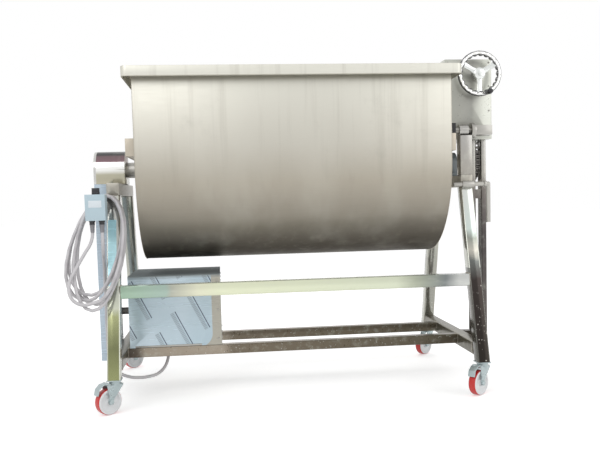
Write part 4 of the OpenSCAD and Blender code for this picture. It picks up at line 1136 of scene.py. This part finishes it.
@dataclass
class Handwheel:
    """Waved chrome rim, three flared spokes and a hub with its nut; sizes in metres."""

    tube: float = 0.011
    waves: int = 21
    swell: float = 0.34
    hub_r: float = 0.024
    spoke_turns: tuple[float, ...] = (-90.0, 30.0, 150.0)
    spoke_half: tuple[tuple[float, float], ...] = ((0.12, 0.21), (0.28, 0.15), (0.5, 0.12), (0.75, 0.135),
                                                   (1.0, 0.17))
    spoke_thick: float = 0.0042
    spoke_waist: float = 0.0012
    spoke_dish: float = 0.004

    def spoke(self, ring: float, turn: float) -> Mesh:
        """One spoke: flared at both ends, round-edged and slightly dished."""
        steps, sides, square = 14, 12, 0.6
        points = self.spoke_half
        verts = []
        for i in range(steps + 1):
            share = points[0][0] + (points[-1][0] - points[0][0]) * i / steps
            k = next(n for n in range(len(points) - 1) if share <= points[n + 1][0] + 1e-9)
            (a, wa), (b, wb) = points[k], points[k + 1]
            half = (wa + (wb - wa) * (share - a) / (b - a)) * ring
            thick = self.spoke_thick - self.spoke_waist * math.sin(math.pi * i / steps)
            dish = -self.spoke_dish * (1 - share)
            verts += [(share * ring, math.copysign(abs(c) ** square, c) * half,
                       dish - math.copysign(abs(s) ** square, s) * thick) for c, s in circle(sides)]
        mesh = shell(verts, wound(steps + 1, sides), "spoke", 180)
        return moved(mesh, Matrix.Rotation(math.radians(turn), 4, "Z"))

    def make(self, shop: Workshop) -> None:
        """Makes the wheel in the place of its node, and its grip."""
        low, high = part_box("handwheel")
        middle = Vector(((low.x + high.x) / 2, low.y + self.tube, (low.z + high.z) / 2))
        ring = (high.x - low.x) / 2 - self.tube
        rim = rim_recipe().run(bpy.data.meshes.new("rim"), Ring=ring, Tube=self.tube * 0.9,
                               Waves=float(self.waves), Swell=self.swell, Finish=shop.finishes[Slot.CHROME])
        hub = turned([(0.0, 0.0155), (0.006, 0.0155), (0.006, 0.0115), (0.0095, 0.0112), (0.0105, 0.0095),
                      (0.021, 0.0085), (self.hub_r, 0.006), (self.hub_r, -0.009), (0.0225, -0.0108),
                      (0.011, -0.0108), (0.011, -0.0145), (0.0, -0.0145)], 32, "hub")
        spokes = joined([self.spoke(ring, turn) for turn in self.spoke_turns], "spokes")
        stand = Matrix.Translation(middle) @ Matrix.Rotation(math.radians(90), 4, "X")
        shop.piece("handwheel_rim", moved(rim, stand), "handwheel", Slot.CHROME, ("handwheel",))
        shop.piece("handwheel_spokes", moved(spokes, stand), "handwheel", Slot.CHROME, look="spoke")
        shop.piece("handwheel_hub", moved(hub, stand), "handwheel", Slot.CHROME, look="spoke")
        shop.replace_soft("handwheel_knob", Slot.PLASTIC, 1.0)


@dataclass
class Plates:
    """Bare plates, the gear housing's cover and the film left on the front left leg; millimetres."""

    front_y: float = -148.0
    film_x: tuple[float, float] = (-744.0, -711.0)
    film_z: tuple[float, float] = (480.0, 735.0)
    film_thick: float = 0.3
    leg_half: float = 25.95
    beam_x: float = 724.0
    beam_z: tuple[float, float] = (831.6, 880.4)
    beam_wide: float = 48.8
    beam_end: float = 240.3

    def flat(self, shop: Workshop, x: tuple[float, float], z: tuple[float, float], y: float,
             depth: float, corner: float, name: str, rise: float = 0.0) -> Mesh:
        """A plate between two places along X and Z, its back at a place along Y."""
        mesh = plate((x[1] - x[0]) * MM, (z[1] - z[0]) * MM, depth * MM, corner * MM, name, rise * MM)
        return moved(mesh, Matrix.Translation(shop.at(sum(x) / 2, y - depth, sum(z) / 2)))

    def film(self, shop: Workshop) -> Mesh:
        """The strip of film on the leg, with soft wrinkles."""
        columns, rows = 10, 60
        (left, right), (low, high) = self.film_x, self.film_z
        made = bmesh.new()
        grid = []
        for r in range(rows + 1):
            z = low + (high - low) * (r / rows)
            row = []
            for x in (left + (right - left) * (c / columns) for c in range(columns + 1)):
                lift = 0.7 + 0.5 * noise.noise(Vector((x * 0.05, 0.0, z * 0.035)))
                row.append(made.verts.new(shop.at(x, -leg_y(z) - self.leg_half - lift, z)))
            grid.append(row)
        faces = [made.faces.new((a[c], a[c + 1], b[c + 1], b[c]))
                 for a, b in zip(grid, grid[1:]) for c in range(columns)]
        made.normal_update()
        bmesh.ops.solidify(made, geom=faces, thickness=self.film_thick * MM)
        bmesh.ops.recalc_face_normals(made, faces=made.faces)
        return ended(made, "leg_film", 40)

    def make(self, shop: Workshop) -> None:
        """Makes them all."""
        cover = self.flat(shop, (667, 862), (1040, 1368), self.front_y, 2.2, 6, "housing_cover", 1.6)
        shop.piece("housing_cover", cover, "frame", Slot.POLISHED, look="panel")
        badge = self.flat(shop, (783, 854), (1048, 1091), self.front_y - 3.2, 1.0, 3, "housing_plate")
        shop.piece("housing_plate", badge, "frame", Slot.PLAIN, look="dull_plate")
        shop.piece("leg_film", self.film(shop), "frame", Slot.FILMED, look="film_strip")
        low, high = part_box("starter_box")
        label = plate(0.048, 0.026, 0.0006, 0.002, "starter_plate")
        label = moved(label, Matrix.Translation((low.x + 0.037, low.y - 0.0006, high.z - 0.036)))
        shop.piece("starter_plate", label, "frame", Slot.BOX, look="white_plate")
        shop.piece("beam_caps", joined(self.caps(shop), "beam_caps"), "frame", Slot.SATIN, look="beam")

    def caps(self, shop: Workshop) -> list[Mesh]:
        """Plates that close the four open ends of the upper beams."""
        low, high = self.beam_z
        made = []
        for side, end in ((-1, -1), (-1, 1), (1, -1), (1, 1)):
            turn = Matrix.Rotation(math.radians(90 + 90 * end), 4, "Z")
            spot = shop.at(side * self.beam_x, end * self.beam_end, (low + high) / 2)
            cap = plate(self.beam_wide * MM, (high - low) * MM, 0.0022, 0.003, "cap")
            made.append(moved(cap, Matrix.Translation(spot) @ turn))
        return made


def bent(base: Sequence[float], *steps: Point) -> list[Vector]:
    """Points given from a base."""
    return [Vector(base) + Vector(step) for step in steps]


@dataclass
class Electrics:
    """Starter box, its arm, the hank of cable on it and the lead to the motor; sizes in millimetres."""

    cable: float = 13.0
    sides: int = 14
    loop_step: float = 14.6
    over_arm: float = 0.9
    rings: int = 24
    arm_x: float = -741.0
    arm_z: float = 815.0
    arm_r: float = 8.0
    arm_from: float = -247.825
    gland_y: float = -400.025
    gland_z: float = 720.8
    hank_from: float = 180.0
    hank_to: float = 2010.0

    def hank_point(self, turn: float) -> Vector:
        """Point of the hanging loops, as a function of the turn in degrees."""
        def swing(size: float, rate: float, start: float = 0.0) -> float:
            """A slow change from loop to loop."""
            return size * math.cos(math.radians(turn * rate + start))
        angle = math.radians(turn)
        tail = max(0.0, (turn - self.hank_to + 100) / 100)
        top = self.arm_z + self.arm_r + self.cable / 2 + self.over_arm
        front = self.arm_from - self.loop_step * (0.6 + (self.hank_to - self.hank_from) / 360)
        low = (1 - math.cos(angle)) / 2
        z = top - (402 + swing(26, 0.27, 200) + swing(10, 0.71, -90) - 14 * tail) * low
        left = 112 + swing(22, 0.31, 60)
        right = (84 + swing(8, 0.53)) * (1 - tail) + 72 * tail
        half = left if math.sin(angle) > 0 else right
        lean = -52 + swing(12, 0.23, -41)
        return Vector((self.arm_x + lean * low - math.sin(angle) * (90 + (half - 90) * low),
                       front + self.loop_step * (turn - self.hank_from) / 360 - LEG_SLOPE * (top - z), z))

    def hank(self) -> list[Vector]:
        """Route of the hank, with a straight end at each side."""
        count = round((self.hank_to - self.hank_from) * self.rings / 360)
        curve = [self.hank_point(self.hank_from + k * 360 / self.rings) for k in range(count + 1)]
        first = (curve[1] - curve[0]).normalized()
        last = (curve[-1] - curve[-2]).normalized()
        return [curve[0] - self.cable * first, *curve, curve[-1] + self.cable * last]

    def supply(self, start: Vector) -> list[Vector]:
        """Control points from the left gland to the hank's start."""
        return bent((-783.0, self.gland_y, self.gland_z), (0, 0, 0), (0, 0, -20), (-1, 0, -42), (-6, 0, -62),
                    (-15, -2, -82), (-27, -4, -100), (-38, -7, -118), (-49, -10, -136),
                    (-59, -13, -154)) + bent(
                        start, (-59, 27, 122), (-69, 22, 104), (-77, 17, 85), (-80, 12, 65), (-79, 7, 44),
                        (-72, 2, 25), (-59, -1, 10), (-41, -3, 0), (-21, -2, -4), (0, 0, 0))

    def motor(self) -> list[Vector]:
        """Control points from the right gland down the leg and up into the drive box."""
        top = bent((-747.0, self.gland_y, self.gland_z), (0, 0, 0), (0, 0, -13), (0, 0, -28), (0, 2, -48),
                   (-1, 9, -72), (-4, 28, -106), (-9, 70, -150))
        down = bent((-749.0, -215.0, 201.0), (-13, -75, 324), (-18, -43, 279), (-21, -23, 229),
                    (-22, -16, 179), (-22, -15, 99), (-22, -15, 39), (-20, -16, -1), (-12, -18, -41),
                    (6, -20, -73), (34, -21, -95))
        end = bent((-540.0, -104.0, 185.1), (-142, -129, -91), (-119, -124, -95), (-97, -116, -97),
                   (-75, -105, -97), (-57, -88, -97), (-44, -69, -96), (-32, -49, -91), (-20, -31, -82),
                   (-10, -15, -67), (-3, -4, -47), (0, 0, -24), (0, 0, 0))
        return top + down + end

    def relief(self, shop: Workshop, name: str, at: Vector) -> Object:
        """Ribbed tapering strain relief under a gland, at the cable's exit in the row's frame."""
        r, down, ribs = self.cable / 2, 30.0, 6
        profile = [(r * 0.9, 0.0), (r + 3.4, 0.0)]
        for k in range(ribs):
            wide, z = r + 3.2 - 2.3 * k / ribs, down * k / ribs
            profile += [(wide, z + 0.4), (wide, z + 2.6), (wide - 0.9, z + 3.1), (wide - 0.9, z + 4.6)]
        profile += [(r + 0.5, down), (r * 0.9, down)]
        mesh = turned([(a * MM, h * MM) for a, h in profile], 24, name, at, -UP)
        return shop.piece(name, mesh, "frame", Slot.RUBBER, look="relief")

    def cords(self, shop: Workshop) -> None:
        """Makes the supply cable with its hank, and the motor lead."""
        hank = self.hank()
        path = [shop.at(*p) for p in smooth_route(self.supply(hank[0]), 3)[:-1] + hank]
        r = self.cable / 2 * MM
        mesh = tube(path, r, self.sides, "supply_cable")
        relief = self.relief(shop, "supply_relief", path[0])
        supply = shop.piece("supply_cable", mesh, "frame", Slot.SHEATH, ("supply_lead", "cable_hank"))
        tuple(path[0])
        length_of(path)
        route = [shop.at(*p) for p in smooth_route(self.motor(), 3)]
        mesh = tube(route, r, self.sides, "motor_cable")
        relief = self.relief(shop, "motor_relief", route[0])
        motor = shop.piece("motor_cable", mesh, "frame", Slot.SHEATH, ("motor_lead",))
        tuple(route[0])
        length_of(route)

    def make(self, shop: Workshop) -> None:
        """Makes the box, its arm and its small parts."""
        shop.replace_soft("starter_box", Slot.BOX, 2.5, 3)
        shop.replace_soft("switch_knob", Slot.PLASTIC, 1.5)
        shop.replace_soft("cable_glands", Slot.PLASTIC, 0.8)
        shop.replace_soft("cable_hook", Slot.BLACK_PAINT, 1.5)
        shop.dress("conductor_ends", Slot.COPPER)


@dataclass
class Casters:
    """Four swivel casters: pale dished cores, red treads, bent zinc forks; sizes in metres."""

    names: tuple[str, ...] = ("front_left", "front_right", "rear_left", "rear_right")
    radius: float = 0.05
    half: float = 0.016
    tread: float = 0.006
    lip: float = 0.0021
    heading: float = 219.0
    sides: int = 72

    def ring(self, side: list[tuple[float, float]], at: Vector, axis: Vector, name: str) -> Mesh:
        """A ring turned round an axis, from one half of its section."""
        profile = [(a, -b) for a, b in side] + side[::-1]
        return turned(profile, self.sides, name, at, axis, 40, True)

    def make(self, shop: Workshop) -> None:
        """Makes forks, wheels, pedals and plates."""
        r, w = self.radius - self.lip, self.half
        core = [(0.0052, w), (0.0125, w), (0.0135, w * 0.92), (0.0150, w * 0.62), (0.0185, w * 0.56),
                (0.0330, w * 0.60), (0.0365, w * 0.68), (0.0400, w), (r - 0.0006, w), (r, w * 0.97),
                (r, w * 0.86)]
        r, w, inner = self.radius, self.half * 0.88, self.radius - self.tread
        tread = [(inner, w * 0.9), (inner, w), (r - 0.0012, w), (r - 0.0004, w * 0.94), (r, w * 0.84)]
        turn = math.radians(self.heading)
        axis = Vector((-math.sin(turn), math.cos(turn), 0))
        for name in self.names:
            wheel = name + "_wheel"
            low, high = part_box(wheel)
            at = (low + high) / 2
            shop.piece(name + "_core", self.ring(core, at, axis, "core"), shop.body(wheel), Slot.TREAD,
                       (wheel,), "wheel_core")
            shop.piece(name + "_tread", self.ring(tread, at, axis, "tread"), shop.body(wheel), Slot.TREAD)
            shop.replace_soft(name + "_fork", Slot.ZINC, 0.8)
        for name in self.names[:2]:
            shop.replace_soft(name + "_pedal", Slot.ZINC, 0.7)
        shop.replace_soft("caster_plates", Slot.ZINC, 1.0)


@dataclass
class Rest:
    """Nodes that keep their CAD shape, or only have their edges rounded; rounding in millimetres."""

    rounded: tuple[tuple, ...] = (
        ("trough_shell", Slot.SATIN, 2.0), ("trough_rim", Slot.SATIN, 1.4),
        ("left_trunnion", Slot.PLAIN, 1.5), ("right_trunnion", Slot.PLAIN, 1.5),
        ("stop_pad", Slot.RUBBER, 2.0), ("lock_socket", Slot.PLAIN, 1.5),
        ("motor_base", Slot.PLAIN, 1.5), ("drive_motor", Slot.GREY_PAINT, 1.0),
        ("drive_gearbox", Slot.GREY_PAINT, 3.0), ("drive_box", Slot.FILMED, 6.0, 2, 30.0),
        ("legs", Slot.POLISHED, 4.0, 2, 60.0), ("left_bearing", Slot.GREY_PAINT, 2.0),
        ("right_bearing", Slot.GREY_PAINT, 2.0), ("lock_bolt", Slot.PLAIN, 1.2),
        ("lock_bush", Slot.PLAIN, 1.2), ("stop_rod", Slot.PLAIN, 1.5),
        ("stop_bracket", Slot.PLAIN, 2.0), ("agitator_arms", Slot.SATIN, 1.0),
        ("outer_ribbon", Slot.SATIN, 1.5), ("inner_ribbon", Slot.SATIN, 1.5),
        ("guard_hood", Slot.POLISHED, 9.0, 3, 30.0, "hood"),
        ("chain_guard", Slot.FILMED, 5.0, 3, 30.0, "guard_film"),
        ("upper_rail", Slot.POLISHED, 4.0, 3, 60.0, "rail"),
        ("lower_rails", Slot.SATIN, 4.0, 3, 60.0, "low_rail"),
        ("gear_housing", Slot.POLISHED, 3.0, 3, 25.0, "panel"),
        ("gearbox_columns", Slot.POLISHED, 2.5, 3, 60.0, "column"),
        ("front_post", Slot.POLISHED, 3.0, 3, 40.0, "column"),
        ("left_beams", Slot.SATIN, 4.0, 3, 60.0, "beam"),
        ("right_beams", Slot.SATIN, 4.0, 3, 60.0, "beam"),
        ("left_end_bar", Slot.SATIN, 3.0, 3, 30.0, "end_bar"),
        ("right_end_bar", Slot.SATIN, 3.0, 3, 30.0, "end_bar"),
    )
    kept: tuple[tuple[str, Slot], ...] = (
        ("driven_sprocket", Slot.CHAIN), ("output_sprocket", Slot.CHAIN), ("tilt_sprocket", Slot.CHAIN),
        ("drive_chain", Slot.CHAIN), ("tilt_chain", Slot.CHAIN), ("worm_shaft", Slot.PLAIN),
        ("worm_wheel", Slot.BRONZE),
    )
    hair: float = 0.0001

    def make(self, shop: Workshop) -> None:
        """Makes them all."""
        for node, slot, *rounding in self.rounded:
            shop.replace_soft(node, slot, *rounding)
        for node, slot in self.kept:
            shop.dress(node, slot)
        self.shaft(shop)

    def shaft(self, shop: Workshop) -> None:
        """Makes the agitator's shaft, thinner by a hair, so that its facets clear its bearings' bores."""
        low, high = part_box("agitator_shaft")
        mesh = shop.softened("agitator_shaft", 1.5)
        for vertex in mesh.vertices:
            out = vertex.co - Vector((vertex.co.x, (low.y + high.y) / 2, (low.z + high.z) / 2))
            vertex.co -= out.normalized() * self.hair
        shop.piece("agitator_shaft_soft", mesh, "agitator", Slot.SATIN, ("agitator_shaft",))


def finishes() -> dict[Slot, Material]:
    """Every finish of the record's slots."""
    plain = {
        Slot.PLAIN: ((0.42, 0.41, 0.38), 0.35, 0.8, 0.2, 120),
        Slot.CHAIN: ((0.16, 0.15, 0.14), 0.38, 0.8, 0.35, 200),
        Slot.BRONZE: ((0.50, 0.29, 0.11), 0.32, 0.9, 0.2, 150),
        Slot.GREY_PAINT: ((0.20, 0.23, 0.25), 0.42, 0.0, 0.08, 240, 0.0004, 0.2),
        Slot.ZINC: ((0.42, 0.49, 0.50), 0.3, 0.55, 0.12, 40),
        Slot.TREAD: ((0.60, 0.02, 0.018), 0.36, 0.0, 0.12, 60, 0.0002, 0.2),
        Slot.PLASTIC: ((0.022, 0.022, 0.026), 0.38, 0.0, 0.2, 300),
        Slot.RUBBER: ((0.028, 0.028, 0.03), 0.7, 0.0, 0.25, 260, 0.0005),
        Slot.BLACK_PAINT: ((0.035, 0.035, 0.038), 0.45, 0.0, 0.2, 150),
        Slot.BOX: ((0.47, 0.59, 0.65), 0.42, 0.0, 0.06, 320, 0.0002),
        Slot.COPPER: ((0.68, 0.33, 0.17), 0.28, 0.9, 0.2, 200),
    }
    made = {slot: Finish(slot.value, *look) for slot, look in plain.items()}
    made |= {Slot.SATIN: SatinSteel(), Slot.POLISHED: SidedLegs(), Slot.FILMED: FilmedSteel(),
             Slot.CHROME: RimChrome(), Slot.SHEATH: Sheathing()}
    return {slot: finish.make() for slot, finish in made.items()}


def extra_finishes() -> dict[str, Material]:
    """Finishes of single pieces that share a slot with others."""
    made = {
        # Painted reflections in bands up the hood: pale lower part, a white band, reddish bands and a dark
        # top; painted highlight on its edges.
        "hood": MirrorBands("hood_bands", 2, (
            (0.875, (0.44, 0.41, 0.31)), (0.920, (0.50, 0.48, 0.37)), (0.938, (0.97, 0.97, 0.95)),
            (0.968, (1.0, 1.0, 0.98)), (0.974, (0.25, 0.16, 0.18)), (0.996, (0.20, 0.14, 0.15)),
            (1.004, (0.07, 0.07, 0.07))), 0.0025, (4.0, 4.0, 4.0), 0.12, middle=-0.772),
        # Painted reflections along the upper rail: greenish at the left end, pale through the middle, dark
        # near the right end.
        "rail": MirrorBands("rail_bands", 0, (
            (-0.70, (0.35, 0.48, 0.37)), (-0.56, (0.37, 0.48, 0.42)), (-0.54, (0.44, 0.45, 0.38)),
            (-0.44, (0.70, 0.70, 0.54)), (-0.35, (0.72, 0.75, 0.55)), (0.36, (0.64, 0.68, 0.53)),
            (0.44, (0.40, 0.43, 0.34)), (0.56, (0.21, 0.23, 0.23)), (0.62, (0.55, 0.56, 0.54))),
            0.012, (7.0, 20.0, 20.0), 0.16),
        # Painted light and shade along the lower rails: dark at the left end, lighter over the left part,
        # dark from there to the right.
        "low_rail": MirrorBands("low_rail_bands", 0, (
            (-0.70, (0.12, 0.10, 0.08)), (-0.66, (0.34, 0.29, 0.23)), (-0.35, (0.36, 0.31, 0.25)),
            (-0.30, (0.18, 0.15, 0.11)), (0.55, (0.10, 0.085, 0.06))), grain=(14.0, 14.0, 14.0), specks=0.5),
        # Painted reflections by height on the columns and front post: dark low down, paler at the top.
        "column": MirrorBands("column_bands", 2, (
            (0.15, (0.12, 0.105, 0.095)), (0.62, (0.09, 0.08, 0.08)), (0.82, (0.20, 0.18, 0.165)),
            (0.90, (0.42, 0.40, 0.36)), (1.05, (0.45, 0.44, 0.42))), 0.03, roughness=0.2),
        # Painted shade on the gear housing's panel: a darker band behind the handwheel, lighter towards the
        # right.
        "panel": MirrorBands("pale_panel", 0, (
            (0.63, (0.52, 0.53, 0.48)), (0.70, (0.44, 0.44, 0.40)), (0.74, (0.36, 0.36, 0.33)),
            (0.79, (0.60, 0.61, 0.55)), (0.83, (0.64, 0.65, 0.59))), 0.03, (6.0, 6.0, 6.0), metallic=0.4),
        # Painted shade by height on the beams: dark low down, lighter at the top.
        "beam": MirrorBands("beam_bands", 2, (
            (0.15, (0.10, 0.09, 0.065)), (0.25, (0.16, 0.145, 0.11)), (0.80, (0.36, 0.34, 0.29)),
            (0.88, (0.44, 0.42, 0.37))), specks=0.3),
        "end_bar": Finish("end_bar_steel", (0.53, 0.48, 0.40), 0.36, 0.6, 0.14, 50, 0.0002),
        "dull_plate": Finish("dull_plate", (0.26, 0.29, 0.28), 0.38, 0.5, 0.16, 40, 0.0002),
        "white_plate": Finish("white_plate", (0.70, 0.76, 0.80), 0.4, 0.0, 0.04, 90, 0.0001),
        "spoke": Finish("spoke_chrome", (0.80, 0.82, 0.80), 0.2, 0.7, 0.3, 24, 0.0001),
        "wheel_core": Finish("wheel_core", (0.78, 0.79, 0.80), 0.42, 0.0, 0.07, 120, 0.0003),
        "film_strip": FilmedSteel("film_strip", (0.40, 0.78, 0.90), (0.60, 0.92, 0.98), printed_and_shaded=False),
        "guard_film": FilmedSteel("guard_film", (0.37, 0.46, 0.54), (0.50, 0.60, 0.69), printed_and_shaded=False),
        "relief": Finish("relief_rubber", (0.24, 0.235, 0.25), 0.55, 0.0, 0.12, 200, 0.0003),
        "weld": Finish("weld_steel", (0.45, 0.42, 0.36), 0.34, 0.8, 0.35, 220, 0.0003),
    }
    return {name: finish.make() for name, finish in made.items()}


def main() -> None:
    """Builds the studio and every sub-assembly in order."""
    logging.basicConfig(level=logging.INFO, format="%(name)s: %(message)s")
    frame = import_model()
    Studio().make()
    shop = Workshop(frame, finishes(), extra_finishes())
    electrics = Electrics()
    electrics.cords(shop)
    electrics.make(shop)
    Casters().make(shop)
    Handwheel().make(shop)
    Plates().make(shop)
    Rest().make(shop)
    Fixings().make(shop)
    log.info("%d pieces", shop.made)


if __name__ == "__main__":
    main()
